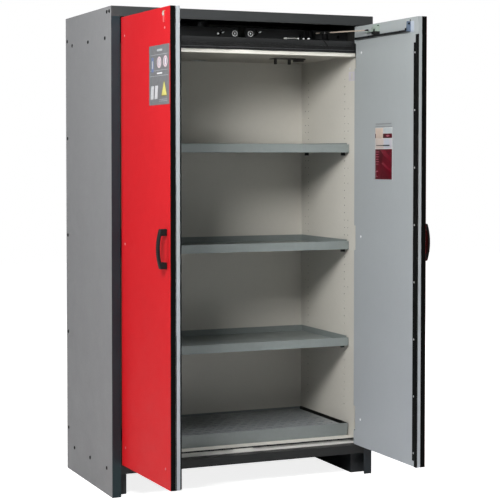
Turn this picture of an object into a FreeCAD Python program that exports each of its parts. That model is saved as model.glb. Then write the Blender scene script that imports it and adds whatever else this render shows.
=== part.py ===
import FreeCAD, Part
import Sketcher
import math
import os

# Two-door flammable storage cabinet, double-walled and insulated, with both doors
# swung open.  Frame: +X to the right as seen from the front, +Y to the back, +Z up.
# Origin: centre of the footprint on the floor.
# Each door is drawn in its own frame: local origin on the hinge axis at floor level,
# "s" runs from the hinge to the free edge, "w" from the outer face to the inner face
# (local +Y).  The left door uses X = +s, the right door X = -s.

os.makedirs("parts", exist_ok=True)
V = FreeCAD.Vector
doc = FreeCAD.newDocument("flammable_storage_cabinet")
sheet = doc.addObject("Spreadsheet::Sheet", "Dims")


# ------------------------------------------------------- sizes with expressions
class Size:
    """A size that carries both its number and its spreadsheet expression."""

    def __init__(self, value, expr):
        self.value = float(value)
        self.expr = expr

    def __add__(self, other):
        other = as_size(other)
        return Size(self.value + other.value, "(%s + %s)" % (self.expr, other.expr))

    def __radd__(self, other):
        return as_size(other) + self

    def __sub__(self, other):
        other = as_size(other)
        return Size(self.value - other.value, "(%s - %s)" % (self.expr, other.expr))

    def __rsub__(self, other):
        return as_size(other) - self

    def __mul__(self, other):
        other = as_size(other)
        return Size(self.value * other.value, "(%s * %s)" % (self.expr, other.expr))

    def __rmul__(self, other):
        return as_size(other) * self

    def __truediv__(self, other):
        other = as_size(other)
        return Size(self.value / other.value, "(%s / %s)" % (self.expr, other.expr))

    def __neg__(self):
        return Size(-self.value, "(0 - %s)" % self.expr)


def as_size(x):
    if isinstance(x, Size):
        return x
    return Size(x, "%.6g" % x if x >= 0 else "(0 - %.6g)" % (-x))


dim_count = 0


def dim(alias, value):
    """Adds one driving dimension to the spreadsheet."""
    global dim_count
    dim_count += 1
    sheet.set("A%d" % dim_count, "'" + alias)
    sheet.set("B%d" % dim_count, "%.6f" % value)
    sheet.setAlias("B%d" % dim_count, alias)
    return Size(value, "Dims." + alias)


# ----------------------------------------------------------- driving dimensions
# casing and liner
body_width = dim("body_width", 1164)
body_depth = dim("body_depth", 620)
body_height = dim("body_height", 1947)
outer_sheet = dim("outer_sheet", 1.5)
liner_sheet = dim("liner_sheet", 1.2)
jamb_width = dim("jamb_width", 36.5)
rail_height = dim("rail_height", 40.5)
frame_return = dim("frame_return", 24.5)
beam_bottom = dim("beam_bottom", 91.5)
beam_top = dim("beam_top", 127.5)
clear_half = dim("clear_half", 525)
inner_floor = dim("inner_floor", 152)
inner_ceiling = dim("inner_ceiling", 1777.5)
inner_back = dim("inner_back", 263)
face_setback = dim("face_setback", 46)      # liner front edge behind the front plane
flange_top = dim("flange_top", 1805)
plenum_floor = dim("plenum_floor", 1843)
plenum_lip = dim("plenum_lip", 22)
# doors
door_thick = dim("door_thick", 38)
door_low = dim("door_low", 130.5)
door_high = dim("door_high", 1901.5)
door_side_gap = dim("door_side_gap", 2)
door_meet_gap = dim("door_meet_gap", 2)
axis_inset = dim("axis_inset", 54.5)        # hinge axis in from the body side
axis_setback = dim("axis_setback", 15.5)    # hinge axis behind the door outer face
skin_sheet = dim("skin_sheet", 1.0)
edge_sheet = dim("edge_sheet", 1.5)
edge_depth = dim("edge_depth", 19)
inner_depth = dim("inner_depth", 17)
left_open = dim("left_open", 88.3)          # opening angles in degrees
right_open = dim("right_open", 90)
# hinges
hinge_mid = dim("hinge_mid", 1010)
hinge_pitch = dim("hinge_pitch", 768.5)
hinge_tall = dim("hinge_tall", 102)
barrel_radius = dim("barrel_radius", 7.5)
pin_radius = dim("pin_radius", 4)
pin_play = dim("pin_play", 0.05)
notch_deep = dim("notch_deep", 9.5)
notch_slack = dim("notch_slack", 1.5)
lug_thick = dim("lug_thick", 4)
# shelving
hole_pitch = dim("hole_pitch", 32)
hole_top = dim("hole_top", 1687.6)
hole_rows = dim("hole_rows", 45)
hole_radius = dim("hole_radius", 3)
front_col = dim("front_col", -163)
front_extra = dim("front_extra", -194)
rear_col = dim("rear_col", 193.5)
rear_extra = dim("rear_extra", 224.5)
shelf_half = dim("shelf_half", 522)
shelf_front = dim("shelf_front", -210)
shelf_rear = dim("shelf_rear", 252)
shelf_tall = dim("shelf_tall", 35)
shelf_wall = dim("shelf_wall", 1.5)
shelf_recess = dim("shelf_recess", 20)
shelf_rim = dim("shelf_rim", 6)
shelf_top_one = dim("shelf_top_one", 1407)
shelf_step = dim("shelf_step", 416)
# sump
sump_half = dim("sump_half", 518)
sump_front = dim("sump_front", -212)
sump_rear = dim("sump_rear", 252)
sump_tall = dim("sump_tall", 53)
sump_wall = dim("sump_wall", 2)
# closers
pivot_x = dim("pivot_x", 390)
pivot_y = dim("pivot_y", -240)
arm_level = dim("arm_level", 1877)
rod_radius = dim("rod_radius", 2.5)
ball_line = dim("ball_line", 34.5)          # w of the arm end
ball_rest = dim("ball_rest", 128)           # s of the arm end with the door at 90 degrees
rail_low = dim("rail_low", 1846)
rail_tall = dim("rail_tall", 8)
rail_start = dim("rail_start", 14)
rail_end = dim("rail_end", 464)
rail_out = dim("rail_out", 13.5)
shoe_near = dim("shoe_near", 52)
shoe_far = dim("shoe_far", 88)
shoe_out = dim("shoe_out", 20)
shoe_top = dim("shoe_top", 1888)
# handle
handle_s = dim("handle_s", 486)
handle_z = dim("handle_z", 1016.5)
handle_span = dim("handle_span", 122)
handle_reach = dim("handle_reach", 38)
handle_thick = dim("handle_thick", 10)
foot_wide = dim("foot_wide", 20)
foot_tall = dim("foot_tall", 25)
foot_out = dim("foot_out", 26)
# seal strip at the meeting edge
strip_split = dim("strip_split", 509)
strip_inner = dim("strip_inner", 493)
strip_thin = dim("strip_thin", 1.6)
strip_thick = dim("strip_thick", 2.5)
screw_s = dim("screw_s", 503)
strip_high = dim("strip_high", 1832)
strip_inner_high = dim("strip_inner_high", 1801)
strip_inner_low = dim("strip_inner_low", 154.5)
screw_top = dim("screw_top", 1762)
screw_step = dim("screw_step", 225.3)
# plinth
foot_inner = dim("foot_inner", 507)
foot_outer = dim("foot_outer", 580)
foot_front = dim("foot_front", -262)
foot_rear = dim("foot_rear", 306)
foot_plate = dim("foot_plate", 4)
foot_web = dim("foot_web", 3)
foot_rail = dim("foot_rail", 60)
# exhaust
spigot_radius = dim("spigot_radius", 37.5)
duct_radius = dim("duct_radius", 37)
spigot_wall = dim("spigot_wall", 2)
spigot_up = dim("spigot_up", 50)
spigot_y = dim("spigot_y", 215)
# bevel on the inner hinge-side corner of the doors
bevel_in = dim("corner_bevel_in", 13)
bevel_back = dim("corner_bevel_back", 7)
doc.recompute()

# ------------------------------------------------------------- derived positions
half_width = body_width / 2
casing_half = half_width - outer_sheet          # inside face of the side panels
front = -(body_depth / 2)
back = body_depth / 2
liner_front = front + face_setback
jamb_inner = half_width - jamb_width
axis_x = half_width - axis_inset
axis_y = front + axis_setback
hinge_edge = axis_x - jamb_inner + door_side_gap    # s of the hinge-side door edge
free_edge = axis_x - door_meet_gap                  # s of the free door edge
outer_face = -axis_setback                          # w of the door faces
inner_face = door_thick - axis_setback
liner_out = clear_half + liner_sheet            # outside of the side liners
liner_rear = inner_back + liner_sheet           # outside of the back liner
rail_under = body_height - rail_height          # underside of the top rail
board_low = beam_bottom + outer_sheet           # limits of the insulation
board_high = body_height - 2 * outer_sheet
board_front = liner_front + liner_sheet
board_back = back - 2 * outer_sheet
pan_start = inner_face - inner_depth            # w where the inner door pan begins
edge_start = outer_face + skin_sheet            # w range of the door edge profile
edge_end = edge_start + edge_depth
channel_top = rail_low + rail_tall              # top of the guide rail walls
hinge_heights = [hinge_mid - hinge_pitch, hinge_mid, hinge_mid + hinge_pitch]
screw_heights = [screw_top - k * screw_step for k in range(8)]
BODY_SIDES = (("left", -1), ("right", 1))       # name, sign of X

# rivet centres on the side panels: y, z
SIDE_RIVETS = [(-258, 1927), (-288, 1927), (-232, 1825), (-9, 1825), (214, 1825),
               (287, 1848), (287, 1432), (287, 1016), (287, 599), (287, 181),
               (-240, 107), (-19, 107), (201, 107)]

# ---------------------------------------------------------------- PartDesign tools
pieces = []                                     # (label, object)


def keep(label, obj):
    obj.Label = label
    pieces.append((label, obj))


def new_body(label):
    body = doc.addObject("PartDesign::Body", label)
    body.Label = label
    return body


def origin_item(body, role):
    return [item for item in body.Origin.OriginFeatures if item.Role == role][0]


def sketch(body, plane, offset):
    """Sketch normals: XY faces +Z, XZ faces -Y, YZ faces +X; offset runs along them."""
    sk = body.newObject("Sketcher::SketchObject", body.Name + "_sk")
    sk.AttachmentSupport = (origin_item(body, plane + "_Plane"), [""])
    sk.MapMode = "FlatFace"
    offset = as_size(offset)
    sk.AttachmentOffset = FreeCAD.Placement(V(0, 0, offset.value), FreeCAD.Rotation())
    sk.setExpression("AttachmentOffset.Base.z", offset.expr)
    return sk


def pin_point(sk, geometry, position, x, y):
    for kind, size in (("DistanceX", as_size(x)), ("DistanceY", as_size(y))):
        index = sk.addConstraint(
            Sketcher.Constraint(kind, -1, 1, geometry, position, size.value))
        sk.setExpression("Constraints[%d]" % index, size.expr)


def poly(sk, points):
    points = [(as_size(x), as_size(y)) for x, y in points]
    corners = [V(x.value, y.value, 0) for x, y in points]
    count = len(points)
    base = sk.GeometryCount
    sk.addGeometry([Part.LineSegment(corners[i], corners[(i + 1) % count])
                    for i in range(count)], False)
    for i in range(count):
        sk.addConstraint(
            Sketcher.Constraint("Coincident", base + i, 2, base + (i + 1) % count, 1))
    for i, (x, y) in enumerate(points):
        pin_point(sk, base + i, 1, x, y)


def rect(x0, x1, y0, y1):
    return [(x0, y0), (x1, y0), (x1, y1), (x0, y1)]


def circle(sk, x, y, radius):
    x, y, radius = as_size(x), as_size(y), as_size(radius)
    geometry = sk.addGeometry(
        Part.Circle(V(x.value, y.value, 0), V(0, 0, 1), radius.value), False)
    pin_point(sk, geometry, 3, x, y)
    index = sk.addConstraint(Sketcher.Constraint("Radius", geometry, radius.value))
    sk.setExpression("Constraints[%d]" % index, radius.expr)


def sketch_feature(kind, body, sk, length, flip):
    length = as_size(length)
    feature = body.newObject("PartDesign::" + kind, body.Name + "_" + kind.lower())
    feature.Profile = sk
    feature.Length = length.value
    feature.setExpression("Length", length.expr)
    feature.Reversed = flip
    return feature


def pad(body, sk, length, flip=False):
    """Adds along the sketch normal, against it when flipped."""
    return sketch_feature("Pad", body, sk, length, flip)


def pocket(body, sk, length, flip=False):
    """Cuts against the sketch normal, along it when flipped."""
    return sketch_feature("Pocket", body, sk, length, flip)


def pad_poly(body, plane, offset, points, length, flip=False):
    sk = sketch(body, plane, offset)
    poly(sk, points)
    return pad(body, sk, length, flip)


def pocket_poly(body, plane, offset, points, length, flip=False):
    sk = sketch(body, plane, offset)
    poly(sk, points)
    return pocket(body, sk, length, flip)


def pattern(body, feature, axis, pitch, count, flip=False):
    rows = body.newObject("PartDesign::LinearPattern", body.Name + "_row")
    rows.Originals = [feature]
    rows.Direction = (origin_item(body, axis + "_Axis"), [""])
    rows.Mode = "Spacing"
    rows.setExpression("Offset", as_size(pitch).expr)
    rows.setExpression("Occurrences", as_size(count).expr)
    rows.Reversed = flip
    body.Tip = rows


# ---------------------------------------------------------------------- Part tools
solid_count = 0


def add_solid(kind, stem):
    global solid_count
    solid_count += 1
    return doc.addObject("Part::" + kind, "%s%d" % (stem, solid_count))


def set_place(obj, x, y, z, rotation=FreeCAD.Rotation()):
    x, y, z = as_size(x), as_size(y), as_size(z)
    obj.Placement = FreeCAD.Placement(V(x.value, y.value, z.value), rotation)
    for axis, size in (("x", x), ("y", y), ("z", z)):
        obj.setExpression("Placement.Base." + axis, size.expr)


def in_order(a, b):
    a, b = as_size(a), as_size(b)
    return (b, a) if a.value > b.value else (a, b)


def box(x0, x1, y0, y1, z0, z1):
    x0, x1 = in_order(x0, x1)
    y0, y1 = in_order(y0, y1)
    z0, z1 = in_order(z0, z1)
    block = add_solid("Box", "block")
    block.setExpression("Length", (x1 - x0).expr)
    block.setExpression("Width", (y1 - y0).expr)
    block.setExpression("Height", (z1 - z0).expr)
    set_place(block, x0, y0, z0)
    return block


def rod(x, y, z, radius, length, rotation):
    """Cylinder from a point along the rotated Z axis."""
    cylinder = add_solid("Cylinder", "round")
    cylinder.setExpression("Radius", as_size(radius).expr)
    cylinder.setExpression("Height", as_size(length).expr)
    set_place(cylinder, x, y, z, rotation)
    return cylinder


def cyl(x, y, z0, z1, radius):
    return rod(x, y, z0, radius, as_size(z1) - z0, FreeCAD.Rotation())


def fuse(solids):
    if len(solids) == 1:
        return solids[0]
    joined = add_solid("MultiFuse", "join")
    joined.Shapes = solids
    joined.Refine = True
    return joined


def cut(base, tools):
    result = add_solid("Cut", "cut")
    result.Base = base
    result.Tool = fuse(tools)
    result.Refine = True
    return result


def compound(solids):
    group = add_solid("Compound", "group")
    group.Links = solids
    return group


def pan_head(position, normal, head_radius, head_height, shank_radius=0, shank_length=0):
    """Pan head: a short round rim under a sloped crown, any shank going the opposite way."""
    rim = head_height * 0.45
    up = V(0, 0, 1)
    shape = Part.makeCylinder(head_radius, rim, V(0, 0, 0), up)
    shape = shape.fuse(Part.makeCone(head_radius, head_radius * 0.62, head_height - rim,
                                     V(0, 0, rim), up))
    if shank_length > 0:
        shank = Part.makeCylinder(shank_radius, shank_length, V(0, 0, 0), V(0, 0, -1))
        shape = shape.fuse(shank).removeSplitter()
    shape.Placement = FreeCAD.Placement(V(*position), FreeCAD.Rotation(up, V(*normal)))
    return shape


def fixed_feature(label, shapes):
    feature = doc.addObject("Part::Feature", label)
    feature.Shape = Part.makeCompound([shape.copy() for shape in shapes])
    return feature


# -------------------------------------------------------------------- outer casing
rear_fold = 20              # width of the folds along the rear edges
beam_lip = 14               # height of the turned-down lip of the front beam


def make_front_frame():
    body = new_body("front_frame")
    pad_poly(body, "XZ", -front - outer_sheet,
             [(-half_width, 0), (-jamb_inner, 0), (-jamb_inner, rail_under),
              (jamb_inner, rail_under), (jamb_inner, 0), (half_width, 0),
              (half_width, body_height), (-half_width, body_height)], outer_sheet)
    # returns running back along the outer edges and under the top rail
    return_y = -front - outer_sheet - frame_return
    inside = casing_half - outer_sheet
    pad_poly(body, "XZ", return_y,
             [(-casing_half, 0), (-inside, 0), (-inside, board_high),
              (inside, board_high), (inside, 0), (casing_half, 0),
              (casing_half, body_height - outer_sheet),
              (-casing_half, body_height - outer_sheet)], frame_return)
    pad_poly(body, "XZ", return_y,
             rect(-jamb_inner, jamb_inner, rail_under, rail_under + outer_sheet), frame_return)
    keep("front_frame", body)


def make_side_panel(side, sign):
    body = new_body(side + "_side_panel")
    outside, inside = sign * half_width, sign * casing_half
    fold = sign * (half_width - rear_fold)
    pad_poly(body, "XY", 0,
             [(outside, front + outer_sheet), (inside, front + outer_sheet),
              (inside, back - outer_sheet), (fold, back - outer_sheet),
              (fold, back), (outside, back)], body_height - outer_sheet)
    sk = sketch(body, "YZ", outside)
    for y, z in SIDE_RIVETS:
        circle(sk, y, z, 2.5)
    pocket(body, sk, outer_sheet + 1, flip=(sign < 0))
    keep(side + "_side_panel", body)


def make_top_panel():
    """Roof sheet with a turned-down rear edge and the exhaust opening."""
    body = new_body("top_panel")
    sk = sketch(body, "XY", body_height - outer_sheet)
    poly(sk, rect(-half_width, half_width, front + outer_sheet, back))
    circle(sk, 0, spigot_y, duct_radius)
    pad(body, sk, outer_sheet)
    fold_half = half_width - rear_fold
    pad_poly(body, "XY", body_height - outer_sheet - rear_fold,
             rect(-fold_half, fold_half, back - outer_sheet, back), rear_fold)
    keep("top_panel", body)


def make_back_and_bottom_panels():
    body = new_body("back_panel")
    pad_poly(body, "XZ", -back + outer_sheet,
             rect(-casing_half, casing_half, beam_bottom, body_height - outer_sheet),
             outer_sheet)
    keep("back_panel", body)
    body = new_body("bottom_panel")
    pad_poly(body, "XY", beam_bottom,
             rect(-casing_half, casing_half, foot_front, board_back), outer_sheet)
    keep("bottom_panel", body)


def make_front_beam():
    """Folded channel between the jambs, with a flat step on top."""
    body = new_body("front_beam")
    pad_poly(body, "YZ", -jamb_inner,
             [(front, beam_bottom), (front + outer_sheet, beam_bottom),
              (front + outer_sheet, beam_top - outer_sheet),
              (liner_front - outer_sheet, beam_top - outer_sheet),
              (liner_front - outer_sheet, beam_top - beam_lip),
              (liner_front, beam_top - beam_lip), (liner_front, beam_top),
              (front, beam_top)], 2 * jamb_inner)
    keep("front_beam", body)


def make_base_frame():
    """Plinth: two side runners with closed front ends, joined by a rear rail."""
    body = new_body("base_frame")
    rail_front = foot_rear - foot_rail
    u_plate = [(-foot_outer, foot_front), (-foot_inner, foot_front),
               (-foot_inner, rail_front), (foot_inner, rail_front),
               (foot_inner, foot_front), (foot_outer, foot_front),
               (foot_outer, foot_rear), (-foot_outer, foot_rear)]
    web_x, web_y = foot_inner + foot_web, foot_front + foot_web
    webs = u_plate[:6] + [(foot_outer, web_y), (web_x, web_y),
                          (web_x, rail_front + foot_web), (-web_x, rail_front + foot_web),
                          (-web_x, web_y), (-foot_outer, web_y)]
    pad_poly(body, "XY", 0, u_plate, foot_plate)
    pad_poly(body, "XY", foot_plate, webs, beam_bottom - 2 * foot_plate)
    pad_poly(body, "XY", beam_bottom - foot_plate, u_plate, foot_plate)
    keep("base_frame", body)


# ---------------------------------------------------------------------- insulation
channel_deep = 11           # channels in the side boards behind the hole columns
channel_margin = 12
channel_low, channel_high = 250, 1720


def make_insulation():
    boards = []
    for side, sign in BODY_SIDES:
        slab = box(sign * liner_out, sign * casing_half, board_front, board_back,
                   board_low, board_high)
        channels = [box(sign * liner_out, sign * (liner_out + channel_deep),
                        y0 - channel_margin, y1 + channel_margin, channel_low, channel_high)
                    for y0, y1 in ((front_extra, front_col), (rear_col, rear_extra))]
        boards.append(cut(slab, channels))
    keep("side_insulation", compound(boards))
    keep("back_insulation",
         box(-liner_out, liner_out, liner_rear, board_back, board_low, board_high))
    ceiling = box(-liner_out, liner_out, board_front, liner_rear,
                  inner_ceiling + liner_sheet, plenum_floor - liner_sheet)
    duct = cyl(0, spigot_y, inner_ceiling, plenum_floor + 5, duct_radius)
    keep("ceiling_insulation", cut(ceiling, [duct]))
    keep("floor_insulation", box(-liner_out, liner_out, board_front, liner_rear,
                                 board_low, inner_floor - liner_sheet))


# -------------------------------------------------------------------------- liners
# rows of the hole grid, counted down from the top, that have an extra hole
FRONT_EXTRA_ROWS = (4, 6, 7, 12, 14, 19, 20, 21, 28)
REAR_EXTRA_ROWS = (4, 6, 7, 11, 12, 19, 20, 28)

gasket_half = 526.3         # inside of the door gasket
gasket_low, gasket_high = 150.5, 1794
gasket_wide = 5
gasket_thick = 7.5
gasket_flat = 1.5           # thickness left at the middle of its top and bottom


def make_side_liner(side, sign):
    body = new_body(side + "_liner")
    plane_x = sign * clear_half
    pad_poly(body, "YZ", plane_x, rect(liner_front, liner_rear, inner_floor, inner_ceiling),
             liner_sheet, flip=(sign < 0))
    sk = sketch(body, "YZ", plane_x)
    for column, rows in ((front_extra, FRONT_EXTRA_ROWS), (rear_extra, REAR_EXTRA_ROWS)):
        for k in rows:
            circle(sk, column, hole_top - k * hole_pitch, hole_radius)
    pocket(body, sk, liner_sheet + 1, flip=(sign > 0))
    sk = sketch(body, "YZ", plane_x)
    circle(sk, front_col, hole_top, hole_radius)
    circle(sk, rear_col, hole_top, hole_radius)
    top_holes = pocket(body, sk, liner_sheet + 1, flip=(sign > 0))
    pattern(body, top_holes, "Z", hole_pitch, hole_rows, flip=True)
    keep(side + "_liner", body)


def make_flat_liners():
    keep("back_liner", box(-clear_half, clear_half, inner_back, liner_rear,
                           inner_floor, inner_ceiling))
    ceiling = box(-liner_out, liner_out, liner_front, liner_rear,
                  inner_ceiling, inner_ceiling + liner_sheet)
    duct = cyl(0, spigot_y, inner_ceiling - 5, inner_ceiling + 5, duct_radius)
    keep("ceiling_liner", cut(ceiling, [duct]))
    keep("floor_liner", box(-liner_out, liner_out, liner_front, liner_rear,
                            inner_floor - liner_sheet, inner_floor))


def make_front_flange():
    """Frame closing the front edges of the insulated walls."""
    body = new_body("front_flange")
    flange_half = half_width - 2 * outer_sheet
    sk = sketch(body, "XZ", -liner_front - liner_sheet)
    poly(sk, [(-flange_half, beam_top), (flange_half, beam_top), (flange_half, board_high),
              (liner_out, board_high), (liner_out, flange_top), (-liner_out, flange_top),
              (-liner_out, board_high), (-flange_half, board_high)])
    poly(sk, rect(-liner_out, liner_out,
                  inner_floor - liner_sheet, inner_ceiling + liner_sheet))
    pad(body, sk, liner_sheet)
    keep("front_flange", body)


def make_door_gasket():
    """Seal around the opening, flattened where the meeting strips cross it."""
    body = new_body("door_gasket")
    outer_half = gasket_half + gasket_wide
    sk = sketch(body, "XZ", -liner_front)
    poly(sk, rect(-outer_half, outer_half, gasket_low - gasket_wide, gasket_high + gasket_wide))
    poly(sk, rect(-gasket_half, gasket_half, gasket_low, gasket_high))
    pad(body, sk, gasket_thick)
    sk = sketch(body, "XZ", -liner_front + gasket_flat)
    for z0, z1 in ((140, 160), (1790, 1805)):
        poly(sk, rect(-46, 46, z0, z1))
    pocket(body, sk, 10, flip=True)
    keep("door_gasket", body)


def make_plenum_cover():
    """Sheet over the insulated ceiling: floor of the technical compartment."""
    cover = fuse([box(-liner_out, liner_out, board_front, liner_rear,
                      plenum_floor - liner_sheet, plenum_floor),
                  box(-liner_out, liner_out, liner_front, board_front,
                      plenum_floor - plenum_lip, plenum_floor)])
    duct = cyl(0, spigot_y, plenum_floor - 5, plenum_floor + 5, duct_radius)
    keep("plenum_cover", cut(cover, [duct]))


# ----------------------------------------------------------- technical compartment
bar_front, bar_rear = -186, -158
bar_top = 1890
bar_sheet = 3
BAR_RIVETS = ((-1, 1866), (70, 1867))           # x, z on the left and the right bar
# side, x range, holes as x, z, radius
CLOSER_BARS = (
    ("left", -524, 13,
     ((-76, 1863, 6), (-61, 1879, 3), BAR_RIVETS[0] + (3.2,), (-300, 1866, 4),
      (-480, 1866, 4))),
    ("right", 48, 524,
     ((92, 1869, 6), (103, 1880, 3), BAR_RIVETS[1] + (3.2,), (300, 1866, 4),
      (480, 1866, 4))))


def make_closer_bar(side, x0, x1, holes):
    """Angle bar standing on the compartment floor, upright wall at the front."""
    body = new_body("closer_bar_" + side)
    pad_poly(body, "YZ", x0,
             [(bar_front, plenum_floor), (bar_rear, plenum_floor),
              (bar_rear, plenum_floor + bar_sheet),
              (bar_front + bar_sheet, plenum_floor + bar_sheet),
              (bar_front + bar_sheet, bar_top), (bar_front, bar_top)], x1 - x0)
    sk = sketch(body, "XZ", -bar_front)
    for x, z, radius in holes:
        circle(sk, x, z, radius)
    pocket(body, sk, 10)
    keep("closer_bar_" + side, body)


def make_closer_housings():
    """Base plate, stepped pivot post and a second round post on each side."""
    housings = []
    for side, sign in BODY_SIDES:
        post_x = sign * pivot_x
        housings.append(fuse([
            box(sign * 321, sign * 404, -254, -196, plenum_floor, 1849),
            cyl(post_x, pivot_y, plenum_floor, arm_level - 4.5, 13.5),
            cyl(post_x, pivot_y, plenum_floor, arm_level + 6, pin_radius),
            cyl(sign * 335, -210, plenum_floor, 1884, 12)]))
    keep("closer_housings", compound(housings))


def make_exhaust_spigot():
    """Duct through the insulated ceiling, with a stepped collar above the roof."""
    tube = fuse([cyl(0, spigot_y, inner_ceiling, body_height + 1, duct_radius),
                 cyl(0, spigot_y, body_height, body_height + spigot_up, spigot_radius)])
    bore = cyl(0, spigot_y, inner_ceiling - 5, body_height + spigot_up + 5,
               spigot_radius - spigot_wall)
    keep("exhaust_spigot", cut(tube, [bore]))


# ---------------------------------------------------------------- inside the store
rim_gap = 18                # the rim is missing over this depth at the shelf front
shelf_edge_radius = 1.2
peg_radius = 2.9
peg_length = 10
peg_drop = 4.4              # peg axis below the shelf underside
shoulder_reach = 15
shoulder_half = 7
shoulder_tall = 13
sump_taper = 3              # degrees
sump_inset = 3              # tray foot inside the sump depth at front and rear
insert_half = 500
insert_gap = 12             # insert inside the sump depth at front and rear
insert_sheet = 2
insert_tall = 46            # insert top above the store floor
slot_x, slot_y = -485, 34   # first slot: x, and y behind the sump front
slot_long, slot_wide = 30, 10
slot_row_pitch = 68
SLOT_STAGGER = ((0, 0), (22, 28))               # x, y shifts of the two slots per row
vent_x, vent_y = 352, -60   # centre of the vent discs


def make_shelf(name, top):
    body = new_body(name)
    underside = top - shelf_tall
    inside = rect(-shelf_half + shelf_wall, shelf_half - shelf_wall,
                  shelf_front + shelf_wall, shelf_rear - shelf_wall)
    pad_poly(body, "XY", underside, rect(-shelf_half, shelf_half, shelf_front, shelf_rear),
             shelf_tall + shelf_rim)
    # hollow from above and from below, leaving the deck between
    pocket_poly(body, "XY", top - shelf_recess, inside, shelf_recess + shelf_rim + 1,
                flip=True)
    pocket_poly(body, "XY", underside, inside, shelf_tall - shelf_recess - shelf_wall,
                flip=True)
    pocket_poly(body, "XY", top,
                rect(-shelf_half - 1, shelf_half + 1, shelf_front - 1, shelf_front + rim_gap),
                shelf_rim + 1, flip=True)
    sk = sketch(body, "XZ", -shelf_front)
    for sign in (-1, 1):
        circle(sk, sign * (shelf_half - 12), top - 8, 2.5)
    holes = pocket(body, sk, 3)
    doc.recompute()
    # round the outer side edges that run back from the front face
    edges = []
    for i, edge in enumerate(holes.Shape.Edges):
        bounds = edge.BoundBox
        runs_back = bounds.XLength < 0.01 and bounds.ZLength < 0.01 and bounds.YLength > 5
        on_side = abs(abs(bounds.XMin) - shelf_half.value) < 0.01
        if runs_back and on_side and bounds.YMin < shelf_front.value + 0.01:
            edges.append("Edge%d" % (i + 1))
    fillet = body.newObject("PartDesign::Fillet", name + "_round")
    fillet.Base = (holes, edges)
    fillet.Radius = shelf_edge_radius
    keep(name, body)


def make_shelf_supports(shelf_tops):
    """Hole pins with a shoulder under every shelf corner."""
    along_x = FreeCAD.Rotation(V(0, 1, 0), 90)
    supports = []
    for top in shelf_tops:
        underside = top - shelf_tall
        for side, sign in BODY_SIDES:
            peg_start = clear_half if sign > 0 else -clear_half - peg_length
            for column in (front_col, rear_col):
                peg = rod(peg_start, column, underside - peg_drop, peg_radius, peg_length,
                          along_x)
                shoulder = box(sign * clear_half, sign * (clear_half - shoulder_reach),
                               column - shoulder_half, column + shoulder_half,
                               underside - shoulder_tall, underside)
                supports.append(fuse([peg, shoulder]))
    keep("shelf_supports", compound(supports))


def make_sump_tray():
    """Tray with sloping walls."""
    body = new_body("sump_tray")
    y0, y1 = sump_front + sump_inset, sump_rear - sump_inset
    block = pad_poly(body, "XY", inner_floor, rect(-sump_half, sump_half, y0, y1), sump_tall)
    block.TaperAngle = sump_taper
    hollow = pocket_poly(body, "XY", inner_floor + sump_wall,
                         rect(-sump_half + sump_wall, sump_half - sump_wall,
                              y0 + sump_wall, y1 - sump_wall), sump_tall + 1, flip=True)
    hollow.TaperAngle = sump_taper
    keep("sump_tray", body)


def make_sump_insert():
    """Slotted cover resting inside the tray."""
    body = new_body("sump_insert")
    y0, y1 = sump_front + insert_gap, sump_rear - insert_gap
    low, high = inner_floor + sump_wall, inner_floor + insert_tall
    pad_poly(body, "YZ", -insert_half,
             [(y0, low), (y0 + insert_sheet, low), (y0 + insert_sheet, high - insert_sheet),
              (y1 - insert_sheet, high - insert_sheet), (y1 - insert_sheet, low),
              (y1, low), (y1, high), (y0, high)], 2 * insert_half)
    sk = sketch(body, "XY", high)
    for row in range(6):
        for shift_x, shift_y in SLOT_STAGGER:
            x = slot_x + shift_x
            y = sump_front + (slot_y + shift_y + slot_row_pitch * row)
            poly(sk, rect(x, x + slot_long, y, y + slot_wide))
    slots = pocket(body, sk, 5)
    pattern(body, slots, "X", 48, 20)
    keep("sump_insert", body)


def make_ceiling_vent():
    """Plate, two stubs and a stepped round disc under the ceiling."""
    plate_under = inner_ceiling - 3
    stubs = [box(x, x + 10, vent_y - 6, vent_y + 6, inner_ceiling - 26, plate_under)
             for x in (238, 304)]
    keep("ceiling_vent", fuse(
        [box(232, 322, -100, -20, plate_under, inner_ceiling)] + stubs
        + [cyl(vent_x, vent_y, inner_ceiling - 5, inner_ceiling, 32),
           cyl(vent_x, vent_y, inner_ceiling - 14, inner_ceiling, 24),
           box(318, 340, vent_y - 10, vent_y + 10, inner_ceiling - 4, inner_ceiling)]))


# ---------------------------------------------------- fasteners and hinges on the body
def make_body_rivets():
    heads = [pan_head((sign * half_width.value, y, z), (sign, 0, 0), 6, 1.4,
                      2.45, outer_sheet.value)
             for side, sign in BODY_SIDES for y, z in SIDE_RIVETS]
    heads += [pan_head((x, bar_front, z), (0, -1, 0), 7, 2, 3.1, bar_sheet)
              for x, z in BAR_RIVETS]
    keep("body_rivets", fixed_feature("body_rivets", heads))


def make_hinge_leaves(side, sign):
    """Barrel on the hinge axis, a leaf running back and a leaf against the flange."""
    leaves = []
    for height in hinge_heights:
        z0, z1 = height - hinge_tall / 2, height + hinge_tall / 2
        leaf = fuse([cyl(sign * axis_x, axis_y, z0, z1, barrel_radius),
                     box(sign * (axis_x + 4.5), sign * (axis_x + 11.5),
                         axis_y, liner_front - 2, z0, z1),
                     box(sign * (axis_x + 4.5), sign * (axis_x + 44.5),
                         liner_front - 4, liner_front, z0, z1)])
        bore = cyl(sign * axis_x, axis_y, z0 - 5, z1 + 5, pin_radius + pin_play)
        leaves.append(cut(leaf, [bore]))
    keep(side + "_hinge_leaves", compound(leaves))


# --------------------------------------------------------------------------- doors
notch_front = -12.5         # w where the hinge notches begin
lug_reach = 12              # s of the lug ends
screw_bore = 1.6            # radius of the seal strip screw holes
rail_wall_inner = 3         # guide rail wall against the door
rail_wall_outer = 2         # other guide rail wall, and its floor
arm_eye_half = 3.5          # half height of the closer arm eyes
plate_thick = 0.8
lock_s, lock_z = 472.5, 1877
lock_radius = 7.5
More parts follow.
